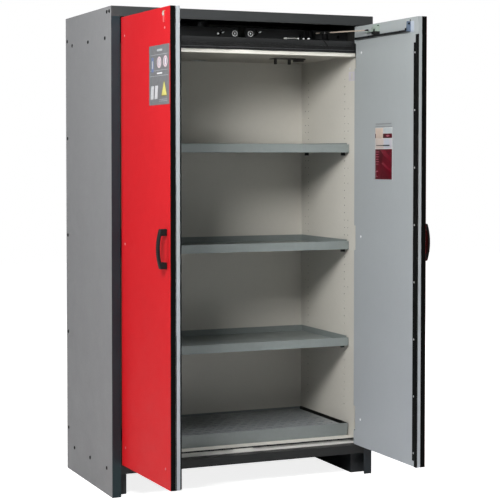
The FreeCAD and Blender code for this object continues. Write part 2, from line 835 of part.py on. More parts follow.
# rivet heads without shank: s, z
INNER_RIVETS = ((57.5, 1789), (57.5, 1018), (57.5, 243.5))
OUTER_RIVETS = ((59, 1826), (59, 1011.6), (59, 206), (476, 1826), (476, 204))


class Door:
    def __init__(self, side, hand, opened):
        self.side = side
        self.hand = hand                        # X = hand * s
        self.flip = hand < 0                    # turns a YZ pad towards the free edge
        self.opened = opened.value
        self.rotation = FreeCAD.Rotation(V(0, 0, 1), -hand * self.opened)

    def x(self, s):
        return self.hand * as_size(s)

    def block(self, s0, s1, w0, w1, z0, z1):
        return box(self.x(s0), self.x(s1), w0, w1, z0, z1)

    def rect(self, s0, s1, y0, y1):
        return rect(self.x(s0), self.x(s1), y0, y1)

    def body(self, name):
        return new_body(self.side + "_" + name)

    def keep_as(self, label, obj):
        """Hangs the piece on the hinge axis at the opening angle."""
        set_place(obj, -self.hand * axis_x, axis_y, 0, self.rotation)
        keep(label, obj)

    def keep(self, name, obj):
        self.keep_as(self.side + "_" + name, obj)


def notch_ends(height):
    reach = hinge_tall / 2 + notch_slack
    return height - reach, height + reach


def hinge_notches(door):
    return [door.block(hinge_edge - 2, notch_deep, notch_front, inner_face + 2,
                       *notch_ends(height)) for height in hinge_heights]


def corner_bevel(door, inset):
    """Wedge over the hinge-side inner corner, so that the swinging door clears the
    seal; its sloping face lies inset deeper into the door."""
    over = 2
    slope = bevel_back / bevel_in
    down = inset * math.hypot(1, slope.value)
    wedge = door.body("bevel")
    pad_poly(wedge, "XY", door_low - over,
             [(door.x(hinge_edge - over), inner_face + over),
              (door.x(hinge_edge - over), inner_face - bevel_back - over * slope - down),
              (door.x(hinge_edge + (over + bevel_back + down) / slope), inner_face + over)],
             door_high - door_low + 2 * over)
    return wedge


def make_door_skin(door):
    body = door.body("door_skin")
    pad_poly(body, "XY", door_low, door.rect(hinge_edge, free_edge, outer_face, edge_start),
             door_high - door_low)
    door.keep("door_skin", body)


def make_door_edge(door):
    """Edge profile around the door, with the hinge lugs joined to it."""
    frame = door.block(hinge_edge, free_edge, edge_start, edge_end, door_low, door_high)
    opening = door.block(hinge_edge + edge_sheet, free_edge - edge_sheet,
                         edge_start - 1, edge_end + 1,
                         door_low + edge_sheet, door_high - edge_sheet)
    ring = cut(frame, [opening] + hinge_notches(door))
    lugs = []
    holes = []
    for height in hinge_heights:
        z0, z1 = notch_ends(height)
        for low, high in ((z0 - lug_thick, z0), (z1, z1 + lug_thick)):
            lugs.append(door.block(hinge_edge + edge_sheet / 2, lug_reach, -10, 12, low, high))
        holes.append(cyl(0, 0, z0 - lug_thick - 2, z0 + 1, pin_radius))
        holes.append(cyl(0, 0, z1 - 1, z1 + lug_thick + 2, pin_radius))
    # the lugs stop short of the inner pan wall beyond the edge profile
    trim = door.block(hinge_edge - 1, hinge_edge + 1.4, edge_end, 13, door_low, door_high)
    door.keep("door_edge", cut(fuse([ring] + lugs), holes + [trim]))


def make_door_core(door):
    """Insulating board, cut away around the hinge lugs."""
    board = door.block(hinge_edge + edge_sheet, free_edge - edge_sheet,
                       edge_start, inner_face - liner_sheet,
                       door_low + edge_sheet, door_high - edge_sheet)
    clearance = lug_thick + 3
    cuts = []
    for height in hinge_heights:
        z0, z1 = notch_ends(height)
        cuts.append(door.block(hinge_edge - 2, lug_reach + 1, -13, inner_face + 2,
                               z0 - clearance, z1 + clearance))
    door.keep("door_core", cut(board, cuts + [corner_bevel(door, liner_sheet)]))


def make_door_inner_panel(door):
    """Inner pan with bevelled corner, hinge notches and strip screw holes."""
    along_w = FreeCAD.Rotation(V(1, 0, 0), -90)
    bores = [rod(door.x(screw_s), inner_face - 6, z, screw_bore, 12, along_w)
             for z in screw_heights]
    inside = door.block(hinge_edge + liner_sheet, free_edge - liner_sheet,
                        pan_start - 1, inner_face - liner_sheet,
                        door_low + liner_sheet, door_high - liner_sheet)
    hollow = cut(inside, [corner_bevel(door, liner_sheet)])
    block = door.block(hinge_edge, free_edge, pan_start, inner_face, door_low, door_high)
    tools = [corner_bevel(door, as_size(0)), hollow] + hinge_notches(door) + bores
    door.keep("door_inner_panel", cut(block, tools))


def make_seal_strip(door):
    """Meeting-edge strip: thick band at the free edge, thinner screwed band beside it."""
    body = door.body("seal_strip")
    pad_poly(body, "XY", door_low,
             door.rect(strip_split, free_edge, inner_face, inner_face + strip_thick),
             strip_high - door_low)
    pad_poly(body, "XY", strip_inner_low,
             door.rect(strip_inner, strip_split, inner_face, inner_face + strip_thin),
             strip_inner_high - strip_inner_low)
    sk = sketch(body, "XZ", -inner_face - strip_thin)
    for z in screw_heights:
        circle(sk, door.x(screw_s), z, screw_bore)
    pocket(body, sk, strip_thin + 2, flip=True)
    door.keep("seal_strip", body)


def make_door_screws(door):
    """Strip screws, and rivet heads on both faces."""
    hand = door.hand
    strip_face = (inner_face + strip_thin).value
    heads = [pan_head((hand * screw_s.value, strip_face, z.value), (0, 1, 0), 4, 1.6,
                      1.55, strip_thin.value + liner_sheet.value) for z in screw_heights]
    heads += [pan_head((hand * s, inner_face.value, z), (0, 1, 0), 5, 1.6)
              for s, z in INNER_RIVETS]
    heads += [pan_head((hand * s, outer_face.value, z), (0, -1, 0), 4.5, 1.4)
              for s, z in OUTER_RIVETS]
    door.keep("door_screws", fixed_feature(door.side + "_door_screws", heads))


def make_handle(door):
    """Bow handle on the outer face: two legs and a curved grip strap."""
    body = door.body("handle")
    s0, s1 = handle_s - foot_wide / 2, handle_s + foot_wide / 2
    for sign in (-1, 1):
        leg_z = handle_z + sign * handle_span / 2
        pad_poly(body, "XZ", -outer_face,
                 door.rect(s0, s1, leg_z - foot_tall / 2, leg_z + foot_tall / 2), foot_out)
    middle = handle_z.value
    half = handle_span.value / 2 + foot_tall.value / 2
    thick = handle_thick.value
    end_w = outer_face.value - foot_out.value
    crown_w = outer_face.value - handle_reach.value
    top_out, low_out = V(end_w, middle + half, 0), V(end_w, middle - half, 0)
    low_in, top_in = V(end_w + thick, middle - half, 0), V(end_w + thick, middle + half, 0)
    sk = sketch(body, "YZ", door.x(s0))
    sk.addGeometry([Part.Arc(top_out, V(crown_w, middle, 0), low_out),
                    Part.LineSegment(low_out, low_in),
                    Part.Arc(low_in, V(crown_w + thick, middle, 0), top_in),
                    Part.LineSegment(top_in, top_out)], False)
    pad(body, sk, foot_wide, door.flip)
    door.keep("handle", body)


def make_guide_rail(door):
    """Upward-open channel on the inner face, with an angled end bracket."""
    body = door.body("guide_rail")
    rail_face = inner_face + rail_out
    rail_floor = rail_low + rail_wall_outer
    pad_poly(body, "YZ", door.x(rail_start),
             [(inner_face, rail_low), (rail_face, rail_low), (rail_face, channel_top),
              (rail_face - rail_wall_outer, channel_top),
              (rail_face - rail_wall_outer, rail_floor),
              (inner_face + rail_wall_inner, rail_floor),
              (inner_face + rail_wall_inner, channel_top), (inner_face, channel_top)],
             rail_end - rail_start, door.flip)
    bracket = [(rail_end - 4, rail_low), (rail_end + 3, rail_low), (rail_end + 3, 1886),
               (rail_end - 1, 1886), (rail_end - 4, 1862)]
    pad_poly(body, "XZ", -inner_face, [(door.x(s), z) for s, z in bracket],
             rail_out + 4, flip=True)
    door.keep("guide_rail", body)


def linkage(opened):
    """Closer linkage of a right-hand door, worked out in the cabinet frame: s of the arm
    end, arm direction in degrees and arm length for an opening angle."""
    short_of_square = 90 - opened
    arm_length = math.hypot(axis_x.value - ball_line.value - pivot_x.value,
                            axis_y.value - ball_rest.value - pivot_y.value)
    s_angle = math.radians(-90 - short_of_square)
    w_angle = math.radians(180 - short_of_square)
    s_x, s_y = math.cos(s_angle), math.sin(s_angle)
    # from the pivot to the point of the ball line at s = 0
    start_x = axis_x.value + ball_line.value * math.cos(w_angle) - pivot_x.value
    start_y = axis_y.value + ball_line.value * math.sin(w_angle) - pivot_y.value
    along = start_x * s_x + start_y * s_y
    ball_s = -along + math.sqrt(
        along * along - (start_x * start_x + start_y * start_y - arm_length * arm_length))
    direction = math.atan2(start_y + ball_s * s_y, start_x + ball_s * s_x)
    return ball_s, math.degrees(direction), arm_length


def make_closer_shoe(door, ball_s):
    """Shoe in the guide rail, with a tongue and a stud towards the arm end."""
    body = door.body("closer_shoe")
    w0, w1 = inner_face + 3.5, inner_face + rail_out - 2.5
    head_w0, head_w1 = inner_face + 0.5, inner_face + shoe_out
    head_low = channel_top + 0.5
    chamfer = 6
    shoe_start = ball_s + shoe_near
    pad_poly(body, "YZ", door.x(shoe_start),
             [(w0, rail_low + 2.5), (w1, rail_low + 2.5), (w1, head_low),
              (head_w1, head_low), (head_w1, shoe_top - chamfer),
              (head_w1 - chamfer, shoe_top), (head_w0, shoe_top),
              (head_w0, head_low), (w0, head_low)],
             shoe_far - shoe_near, door.flip)
    pad_poly(body, "XY", arm_level - 11,
             door.rect(ball_s - 7, shoe_start + 2, ball_line - 6, ball_line + 6), 4)
    sk = sketch(body, "XY", arm_level - 7.5)
    circle(sk, door.x(ball_s), ball_line, 3)
    pad(body, sk, 3)
    door.keep("closer_shoe", body)


def make_closer_arm(door, direction, arm_length):
    """Drawn along +X from the pivot eye, with a short tail on the other side."""
    body = door.body("closer_arm")
    sk = sketch(body, "XY", -arm_eye_half)
    circle(sk, 0, 0, 9)
    circle(sk, 0, 0, pin_radius + pin_play)
    pad(body, sk, 2 * arm_eye_half)
    for start, length in ((6, arm_length - 6 - 3), (-45, 39)):
        sk = sketch(body, "YZ", start)
        circle(sk, 0, 0, rod_radius)
        pad(body, sk, length)
    sk = sketch(body, "XY", -arm_eye_half)
    circle(sk, arm_length, 0, 6)
    pad(body, sk, 2 * arm_eye_half)
    sk = sketch(body, "XY", 4)
    circle(sk, arm_length, 0, 3)
    pocket(body, sk, 10)
    angle = direction if door.hand < 0 else 180 - direction
    set_place(body, -door.hand * pivot_x, pivot_y, arm_level,
              FreeCAD.Rotation(V(0, 0, 1), angle))
    keep(door.side + "_closer_arm", body)


def make_hinge_pins(door):
    """Headed pins through the lugs."""
    pins = []
    for height in hinge_heights:
        z0, z1 = notch_ends(height)
        lug_top = z1 + lug_thick
        pins.append(fuse([cyl(0, 0, z0 - lug_thick - 1, lug_top + 1.5, pin_radius),
                          cyl(0, 0, lug_top, lug_top + 2.5, pin_radius + 1.5)]))
    door.keep("hinge_pins", compound(pins))


def make_door_plate(door, offset, s0, s1, z0, z1):
    """Plain plate without lettering."""
    body = door.body("door_plate")
    pad_poly(body, "XZ", offset, door.rect(s0, s1, z0, z1), plate_thick)
    door.keep("door_plate", body)


def make_lock(door):
    """Eight-sided escutcheon, and a cylinder with a key slot."""
    body = new_body("lock_escutcheon")
    sk = sketch(body, "XZ", -outer_face)
    poly(sk, [(461.5, 1850), (465.5, 1846), (479.5, 1846), (483.5, 1850),
              (483.5, 1885), (479.5, 1889), (465.5, 1889), (461.5, 1885)])
    circle(sk, lock_s, lock_z, lock_radius)
    pad(body, sk, 5)
    door.keep_as("lock_escutcheon", body)

    body = new_body("lock_cylinder")
    cylinder_out = 7
    sk = sketch(body, "XZ", -outer_face)
    circle(sk, lock_s, lock_z, lock_radius - 0.05)
    pad(body, sk, cylinder_out)
    pocket_poly(body, "XZ", -outer_face + cylinder_out,
                rect(lock_s - 0.9, lock_s + 0.9, lock_z - 4.2, lock_z + 4.2), 5)
    door.keep_as("lock_cylinder", body)


def make_door(door):
    make_door_skin(door)
    make_door_edge(door)
    make_door_core(door)
    make_door_inner_panel(door)
    make_seal_strip(door)
    make_door_screws(door)
    make_handle(door)
    make_guide_rail(door)
    ball_s, direction, arm_length = linkage(door.opened)
    make_closer_shoe(door, as_size(ball_s))
    make_closer_arm(door, direction, arm_length)
    make_hinge_pins(door)


# ------------------------------------------------------------------------ assembly
make_front_frame()
for side, sign in BODY_SIDES:
    make_side_panel(side, sign)
make_top_panel()
make_back_and_bottom_panels()
make_front_beam()
make_base_frame()
make_insulation()
for side, sign in BODY_SIDES:
    make_side_liner(side, sign)
make_flat_liners()
make_front_flange()
make_door_gasket()
make_plenum_cover()
for bar in CLOSER_BARS:
    make_closer_bar(*bar)
make_closer_housings()
make_exhaust_spigot()
shelf_tops = [shelf_top_one - k * shelf_step for k in range(3)]
for k, top in enumerate(shelf_tops):
    make_shelf("shelf_%d" % (k + 1), top)
make_shelf_supports(shelf_tops)
make_sump_tray()
make_sump_insert()
make_ceiling_vent()
make_body_rivets()
for side, sign in BODY_SIDES:
    make_hinge_leaves(side, sign)

left_door = Door("left", 1, left_open)
make_door(left_door)
make_door_plate(left_door, -outer_face, 321, 519, 1546, 1766)
make_lock(left_door)
right_door = Door("right", -1, right_open)
make_door(right_door)
make_door_plate(right_door, -inner_face - plate_thick, 181, 322.5, 1261, 1473)

doc.recompute()

# ---------------------------------------------------------------- check and export
faults = []
for obj in doc.Objects:
    state = " ".join(obj.State)
    if "Invalid" in state or "Error" in state:
        faults.append("%s: %s" % (obj.Label, state))

for label, obj in pieces:
    if obj.Shape.isNull() or not obj.Shape.isValid():
        faults.append("%s: bad shape" % label)
    else:
        obj.Shape.exportStep("parts/%s.step" % label)

if faults:
    print("\n".join(faults))
    raise SystemExit(1)
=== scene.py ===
"""Looks of a steel storage cabinet with two open doors, in its studio.

The cabinet stands on z = 0 with its front towards -y and its width along x. Both doors stand
open, reaching forwards from hinge lines at x = -527.5 mm (left) and x = +527.5 mm (right).
Added pieces are in millimetres; shader coordinates, lights and the camera are in metres.
"""

import math

import bmesh
import bpy
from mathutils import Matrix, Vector


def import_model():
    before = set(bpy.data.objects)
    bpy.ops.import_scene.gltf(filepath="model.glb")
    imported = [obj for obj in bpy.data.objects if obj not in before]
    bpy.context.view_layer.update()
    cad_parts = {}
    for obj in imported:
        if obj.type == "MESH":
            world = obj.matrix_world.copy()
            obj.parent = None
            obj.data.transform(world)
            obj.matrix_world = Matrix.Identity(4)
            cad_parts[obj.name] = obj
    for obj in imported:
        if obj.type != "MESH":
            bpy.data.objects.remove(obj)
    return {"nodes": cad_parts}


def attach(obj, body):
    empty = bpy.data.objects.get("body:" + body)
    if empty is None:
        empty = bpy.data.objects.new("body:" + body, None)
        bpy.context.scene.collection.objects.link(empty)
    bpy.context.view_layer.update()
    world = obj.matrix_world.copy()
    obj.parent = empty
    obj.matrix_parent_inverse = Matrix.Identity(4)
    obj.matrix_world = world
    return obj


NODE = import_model()["nodes"]
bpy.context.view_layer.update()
MM = 0.001
SCENE = bpy.context.scene
SIDES = ("left", "right")

# Hinge lines in mm, and the left door's turn away from straight forwards
HINGE_X, HINGE_Y = 527.5, -294.5
LEFT_SIN, LEFT_COS = 0.029666, 0.99956

# Planes are (x, y, z factors, offset) and give a distance in metres
ALONG_X = (1.0, 0.0, 0.0, 0.0)
ALONG_Y = (0.0, 1.0, 0.0, 0.0)
ALONG_Z = (0.0, 0.0, 1.0, 0.0)
# Distance from the hinge line, out along the door
DOOR_ALONG = {
    "left": (LEFT_SIN, -LEFT_COS, 0.0, -0.278722),
    "right": (0.0, -1.0, 0.0, HINGE_Y * MM),
}
# Depth through the door, growing from its outer to its inner face
DOOR_DEPTH = {
    "left": (LEFT_COS, LEFT_SIN, 0.0, 0.53601),
    "right": (-1.0, 0.0, 0.0, HINGE_X * MM),
}

MATERIAL = {}


# ------------------------------------------------------------ shader helpers
def linear(colour):
    """(r, g, b) display values 0..255 to a linear RGBA colour."""
    out = []
    for value in colour:
        value = value / 255.0
        out.append(value / 12.92 if value <= 0.04045 else ((value + 0.055) / 1.055) ** 2.4)
    return tuple(out) + (1.0,)


class Shade:
    """A Principled material, filed in MATERIAL, with a small vocabulary for its node tree."""

    def __init__(self, name):
        material = bpy.data.materials.new(name)
        MATERIAL[name] = material
        material.use_nodes = True
        self.tree = material.node_tree
        self.tree.nodes.clear()
        output = self.node("ShaderNodeOutputMaterial")
        self.bsdf = self.node("ShaderNodeBsdfPrincipled")
        self.link(self.bsdf.outputs[0], output.inputs[0])
        self.coords = self.node("ShaderNodeTexCoord").outputs["Object"]

    def node(self, kind, **props):
        made = self.tree.nodes.new(kind)
        for key, value in props.items():
            setattr(made, key, value)
        return made

    def link(self, source, target):
        self.tree.links.new(source, target)

    def put(self, socket, value):
        if isinstance(value, bpy.types.NodeSocket):
            self.link(value, socket)
        else:
            socket.default_value = value

    def set(self, name, value):
        self.put(self.bsdf.inputs[name], value)

    def stretch(self, scale):
        mapping = self.node("ShaderNodeMapping")
        self.link(self.coords, mapping.inputs["Vector"])
        mapping.inputs["Scale"].default_value = scale
        return mapping.outputs[0]

    def noise(self, scale, detail, rough, coords=None, distort=0.0):
        made = self.node("ShaderNodeTexNoise")
        self.link(coords or self.coords, made.inputs["Vector"])
        made.inputs["Scale"].default_value = scale
        made.inputs["Detail"].default_value = detail
        made.inputs["Roughness"].default_value = rough
        made.inputs["Distortion"].default_value = distort
        return made.outputs["Fac"]

    def cells(self, scale, output):
        made = self.node("ShaderNodeTexVoronoi", feature="F1")
        self.link(self.coords, made.inputs["Vector"])
        made.inputs["Scale"].default_value = scale
        return made.outputs[output]

    def remap(self, value, source, target):
        made = self.node("ShaderNodeMapRange")
        self.put(made.inputs["Value"], value)
        for end, pair in (("From", source), ("To", target)):
            made.inputs[end + " Min"].default_value = pair[0]
            made.inputs[end + " Max"].default_value = pair[1]
        return made.outputs[0]

    def spread(self, low, high, **noise):
        """Noise whose usual range runs from low to high."""
        return self.remap(self.noise(**noise), (0.3, 0.7), (low, high))

    def patches(self, start, full, share, **noise):
        """0 where the noise is below start, rising to share at full."""
        return self.remap(self.noise(**noise), (start, full), (0.0, share))

    def calc(self, operation, first, second=0.0, third=None):
        made = self.node("ShaderNodeMath", operation=operation)
        self.put(made.inputs[0], first)
        self.put(made.inputs[1], second)
        if third is not None:
            self.put(made.inputs[2], third)
        return made.outputs[0]

    def mix(self, share, first, second, blend="MIX"):
        made = self.node("ShaderNodeMix", data_type="RGBA", blend_type=blend)
        for index, value in ((0, share), (6, first), (7, second)):
            self.put(made.inputs[index], value)
        return made.outputs[2]

    def shaded(self, colour, factor):
        """A display colour multiplied by a grey factor."""
        grey = self.node("ShaderNodeCombineColor")
        for channel in range(3):
            self.put(grey.inputs[channel], factor)
        return self.mix(1.0, linear(colour), grey.outputs[0], "MULTIPLY")

    def axis(self, index):
        made = self.node("ShaderNodeSeparateXYZ")
        self.link(self.coords, made.inputs[0])
        return made.outputs[index]

    def plan_sum(self, x_factor, y_factor):
        return self.calc("ADD", self.calc("MULTIPLY", self.axis(0), x_factor),
                         self.calc("MULTIPLY", self.axis(1), y_factor))

    def bump(self, height, distance, strength, onto=None):
        made = self.node("ShaderNodeBump")
        made.inputs["Strength"].default_value = strength
        made.inputs["Distance"].default_value = distance
        self.put(made.inputs["Height"], height)
        if onto is not None:
            self.link(onto, made.inputs["Normal"])
        return made.outputs[0]

    def edges(self, radius):
        """0 on flat ground, rising to 1 along edges."""
        bevel = self.node("ShaderNodeBevel", samples=4)
        bevel.inputs["Radius"].default_value = radius
        geometry = self.node("ShaderNodeNewGeometry")
        dot = self.node("ShaderNodeVectorMath", operation="DOT_PRODUCT")
        self.link(bevel.outputs[0], dot.inputs[0])
        self.link(geometry.outputs["Normal"], dot.inputs[1])
        turn = self.calc("SUBTRACT", 1.0, dot.outputs["Value"])
        return self.remap(turn, (0.02, 0.25), (0.0, 1.0))

    def inside(self, slabs):
        """1 where every (plane, low, high) slab holds, otherwise 0."""
        result = None
        for (x_factor, y_factor, z_factor, offset), low, high in slabs:
            upright = self.calc("MULTIPLY_ADD", self.axis(2), z_factor, offset)
            value = self.calc("ADD", self.plan_sum(x_factor, y_factor), upright)
            within = self.calc("MULTIPLY", self.calc("GREATER_THAN", value, low),
                               self.calc("LESS_THAN", value, high))
            result = within if result is None else self.calc("MULTIPLY", result, within)
        return result


# -------------------------------------------------------- kinds of material
def coat(name, colour, wear, wear_share=0.5, vary=0.05, smudge=0.04, rough=0.45, swing=0.07,
         spec=0.5, grain=1100.0, grain_height=0.00004, wave=0.0, fade=None, zones=()):
    """Coated sheet: mottled colour, satin swings, orange-peel skin and rubbed edges, paled in
    patches as wear and as a painted edge highlight.

    vary, smudge   broad and fine colour variation
    swing          variation of the roughness
    grain          scale of the skin; wave is the height in metres of broad waves
    fade           (z of the full tint, z where it has gone, colour multiplier): painted shade along the height
    zones          (slabs, colour) of differently coloured parts
    """
    m = Shade(name)
    broad = m.noise(scale=1.7, detail=4.0, rough=0.6)
    fine = m.noise(scale=55.0, detail=5.0, rough=0.65)
    factor = m.calc("ADD", m.remap(broad, (0.3, 0.7), (1.0 - vary, 1.0 + vary)),
                    m.remap(fine, (0.3, 0.7), (-smudge, smudge)))
    base = m.shaded(colour, factor)
    # Painted shade: the colour multiplier comes in along the height.
    if fade is not None:
        z_full, z_gone, multiplier = fade
        clear = m.remap(m.axis(2), (z_full, z_gone), (0.0, 1.0))
        base = m.mix(clear, m.mix(1.0, base, multiplier, "MULTIPLY"), base)
    for slabs, tint in zones:
        base = m.mix(m.inside(slabs), base, m.shaded(tint, factor))
    gloss = m.calc("ADD", m.spread(rough - swing, rough + swing, scale=9.0, detail=5.0, rough=0.6),
                   m.spread(-0.03, 0.03, scale=240.0, detail=2.0, rough=0.5))
    # Paler edges in patches: partly wear, partly a painted edge highlight.
    edge = m.edges(radius=0.0016)
    patch = m.patches(start=0.45, full=0.62, share=1.0, scale=70.0, detail=4.0, rough=0.7)
    rubbed_and_highlit = m.calc("MULTIPLY", m.calc("MULTIPLY", edge, patch), wear_share)
    m.set("Base Color", m.mix(rubbed_and_highlit, base, linear(wear)))
    m.set("Roughness", m.calc("SUBTRACT", gloss, m.calc("MULTIPLY", rubbed_and_highlit, 0.1)))
    m.set("Specular IOR Level", spec)
    skin = m.noise(scale=grain, detail=2.0, rough=0.5)
    normal = m.bump(skin, distance=grain_height, strength=0.6)
    if wave:
        swell = m.noise(scale=3.2, detail=1.0, rough=0.4)
        normal = m.bump(swell, distance=wave, strength=0.5, onto=normal)
    m.set("Normal", normal)


def smooth_sheet(name, colour, **options):
    """Coated sheet with a finer, lower skin."""
    coat(name, colour, swing=0.05, wear_share=0.3, grain=1500.0, grain_height=0.00002, **options)


def rubber(name, colour, rough=0.78, dusty=0.10, spec=0.35):
    m = Shade(name)
    dust = m.patches(start=0.5, full=0.72, share=1.0, scale=130.0, detail=4.0, rough=0.7)
    base = m.shaded(colour, m.spread(0.85, 1.2, scale=6.0, detail=4.0, rough=0.6))
    m.set("Base Color", m.mix(m.calc("MULTIPLY", dust, dusty), base, linear((120, 120, 118))))
    m.set("Roughness", m.spread(rough - 0.08, rough + 0.08, scale=40.0, detail=3.0, rough=0.6))
    m.set("Specular IOR Level", spec)
    pores = m.noise(scale=700.0, detail=3.0, rough=0.6)
    m.set("Normal", m.bump(pores, distance=0.00006, strength=0.7))


def plastic(name, colour, rough):
    """Grained plastic with paler edges, partly wear and partly a painted edge highlight."""
    m = Shade(name)
    base = m.shaded(colour, m.spread(0.92, 1.1, scale=22.0, detail=3.0, rough=0.6))
    # Paler edges in patches: wear and painted edge highlight.
    patch = m.patches(start=0.45, full=0.65, share=0.35, scale=90.0, detail=3.0, rough=0.7)
    edge = m.calc("MULTIPLY", m.edges(radius=0.0015), patch)
    m.set("Base Color", m.mix(edge, base, linear((92, 94, 96))))
    m.set("Roughness", m.spread(rough - 0.08, rough + 0.1, scale=35.0, detail=4.0, rough=0.6))
    m.set("Specular IOR Level", 0.3)
    m.set("Normal", m.bump(m.cells(850.0, "Distance"), distance=0.00007, strength=0.6))


def steel(name, colour, rough, metal, spangle=0.12, brush=None, dark_ends=(), painted=()):
    """Plated or brushed metal with spangle patches.

    brush      scale of the scratches along x, y and z
    dark_ends  ((x, y), radius) of dark, non-metallic spots in plan
    painted    (plane, limit, colour): the colour goes where the plane is below the limit
    """
    m = Shade(name)
    cell = m.node("ShaderNodeSeparateColor")
    m.link(m.cells(420.0, "Color"), cell.inputs[0])
    factor = m.calc("ADD", m.remap(cell.outputs[0], (0.0, 1.0), (1.0 - spangle, 1.0 + spangle)),
                    m.spread(-0.06, 0.06, scale=30.0, detail=4.0, rough=0.6))
    base = m.shaded(colour, factor)
    for centre, radius in dark_ends:
        offsets = [m.calc("SUBTRACT", m.axis(k), centre[k]) for k in range(2)]
        squares = [m.calc("MULTIPLY", offset, offset) for offset in offsets]
        distance = m.calc("SQRT", m.calc("ADD", *squares))
        near = m.remap(distance, (radius * 0.8, radius), (1.0, 0.0))
        base = m.mix(near, base, linear((16, 16, 17)))
        metal = m.calc("MULTIPLY", m.calc("SUBTRACT", 1.0, near), metal)
    for (x_factor, y_factor, _, offset), limit, tint in painted:
        value = m.calc("ADD", m.plan_sum(x_factor, y_factor), offset)
        base = m.mix(m.calc("LESS_THAN", value, limit), base, m.shaded(tint, factor))
    m.set("Base Color", base)
    m.set("Metallic", metal)
    dull = m.remap(cell.outputs[1], (0.0, 1.0), (rough - 0.05, rough + 0.07))
    m.set("Roughness", m.calc("ADD", dull, m.spread(-0.04, 0.05, scale=150.0, detail=3.0,
                                                    rough=0.6)))
    coords = m.stretch(brush) if brush else None
    scratches = m.noise(scale=900.0, detail=3.0, rough=0.6, coords=coords)
    m.set("Normal", m.bump(scratches, distance=0.00004, strength=0.6))


def board(name, colour, speck):
    """Pressed mineral board with upright fibres."""
    m = Shade(name)
    fibre = m.noise(scale=160.0, detail=6.0, rough=0.75, coords=m.stretch((1.0, 1.0, 0.25)))
    base = m.shaded(colour, m.spread(0.86, 1.12, scale=12.0, detail=5.0, rough=0.6))
    m.set("Base Color", m.mix(m.remap(fibre, (0.5, 0.7), (0.0, 0.7)), base, linear(speck)))
    m.set("Roughness", m.remap(fibre, (0.3, 0.7), (0.85, 0.97)))
    m.set("Normal", m.bump(fibre, distance=0.0006, strength=0.7))


def film(name, colour, rough=0.36, vary=0.05, tint=None):
    """Printed film or coated card: slight mottle, with clouds of the tint if one is given."""
    m = Shade(name)
    base = m.shaded(colour, m.spread(1.0 - vary, 1.0 + vary, scale=24.0, detail=4.0, rough=0.6))
    if tint is not None:
        clouds = m.patches(start=0.45, full=0.62, share=0.8,
                           scale=11.0, detail=3.0, rough=0.6, distort=0.6)
        base = m.mix(clouds, base, linear(tint))
    m.set("Base Color", base)
    m.set("Roughness", m.spread(rough - 0.06, rough + 0.1, scale=60.0, detail=4.0, rough=0.6))
    m.set("Normal", m.bump(m.noise(scale=500.0, detail=2.0, rough=0.5), distance=0.00003,
                           strength=0.5))


def rail(name, x_factor, y_factor, offset):
    """Black rail with a bluish far end; the factors and offset give the distance along it."""
    m = Shade(name)
    along = m.calc("ADD", m.plan_sum(x_factor, y_factor), offset)
    far = m.calc("GREATER_THAN", along, 0.4595)
    factor = m.spread(0.86, 1.14, scale=60.0, detail=4.0, rough=0.6)
    # Greyer edges in patches: wear and painted edge highlight.
    patch = m.patches(start=0.45, full=0.62, share=0.4, scale=80.0, detail=4.0, rough=0.7)
    edge = m.calc("MULTIPLY", m.edges(radius=0.0014), patch)
    black = m.mix(edge, linear((18, 19, 21)), linear((84, 86, 88)))
    m.set("Base Color", m.mix(far, black, m.shaded((96, 110, 128), factor)))
    m.set("Metallic", m.calc("MULTIPLY", far, 0.35))
    m.set("Roughness", m.spread(0.36, 0.5, scale=40.0, detail=3.0, rough=0.6))
    m.set("Specular IOR Level", 0.4)
    m.set("Normal", m.bump(m.noise(scale=900.0, detail=2.0, rough=0.5), distance=0.00004,
                           strength=0.6))


# ------------------------------------------------- materials of the cabinet
BLACK = (8, 8, 8)
# Paler edge colours: wear and painted edge highlight.
EDGE_WEAR_HIGHLIGHT_GREY = (150, 152, 154)
EDGE_WEAR_HIGHLIGHT_CREAM = (225, 222, 214)

# Casing and frame
LEG_HEIGHT = (ALONG_Z, -0.1, 1.9065)
# The jambs below the top rail are painted darker and cyan: painted shade that cancels the red light
# bounced onto them from the open doors.
coat("paint_frame", (50, 52, 53), rough=0.42, wear=(96, 98, 100), wear_share=0.3, wave=0.0006,
     zones=(([(ALONG_X, -0.6, -0.5445), LEG_HEIGHT], (8, 33, 39)),
            ([(ALONG_X, 0.5445, 0.6), LEG_HEIGHT], (25, 34, 40))))
# Casing darker towards the bottom: painted shade of the light falling off downwards.
coat("paint_casing", (134, 135, 137), vary=0.012, smudge=0.012, rough=0.5, spec=0.3,
     wear=EDGE_WEAR_HIGHLIGHT_GREY, wear_share=0.35, wave=0.0007, fade=(0.0, 1.9, (0.80, 0.79, 0.79, 1.0)))
coat("paint_beam", (17, 19, 20), rough=0.5, wear=(90, 91, 93))
coat("paint_base", (34, 37, 40), rough=0.5, wear=(110, 110, 110))
coat("paint_roof", (112, 113, 115), vary=0.02, smudge=0.015, rough=0.66, spec=0.15,
     wear=EDGE_WEAR_HIGHLIGHT_GREY, wear_share=0.3, wave=0.0007)
coat("paint_rivet", (13, 13, 14), rough=0.6, wear=(60, 60, 60), wear_share=0.2, spec=0.2)
coat("paint_hinge", (20, 21, 22), wear=(80, 82, 84))

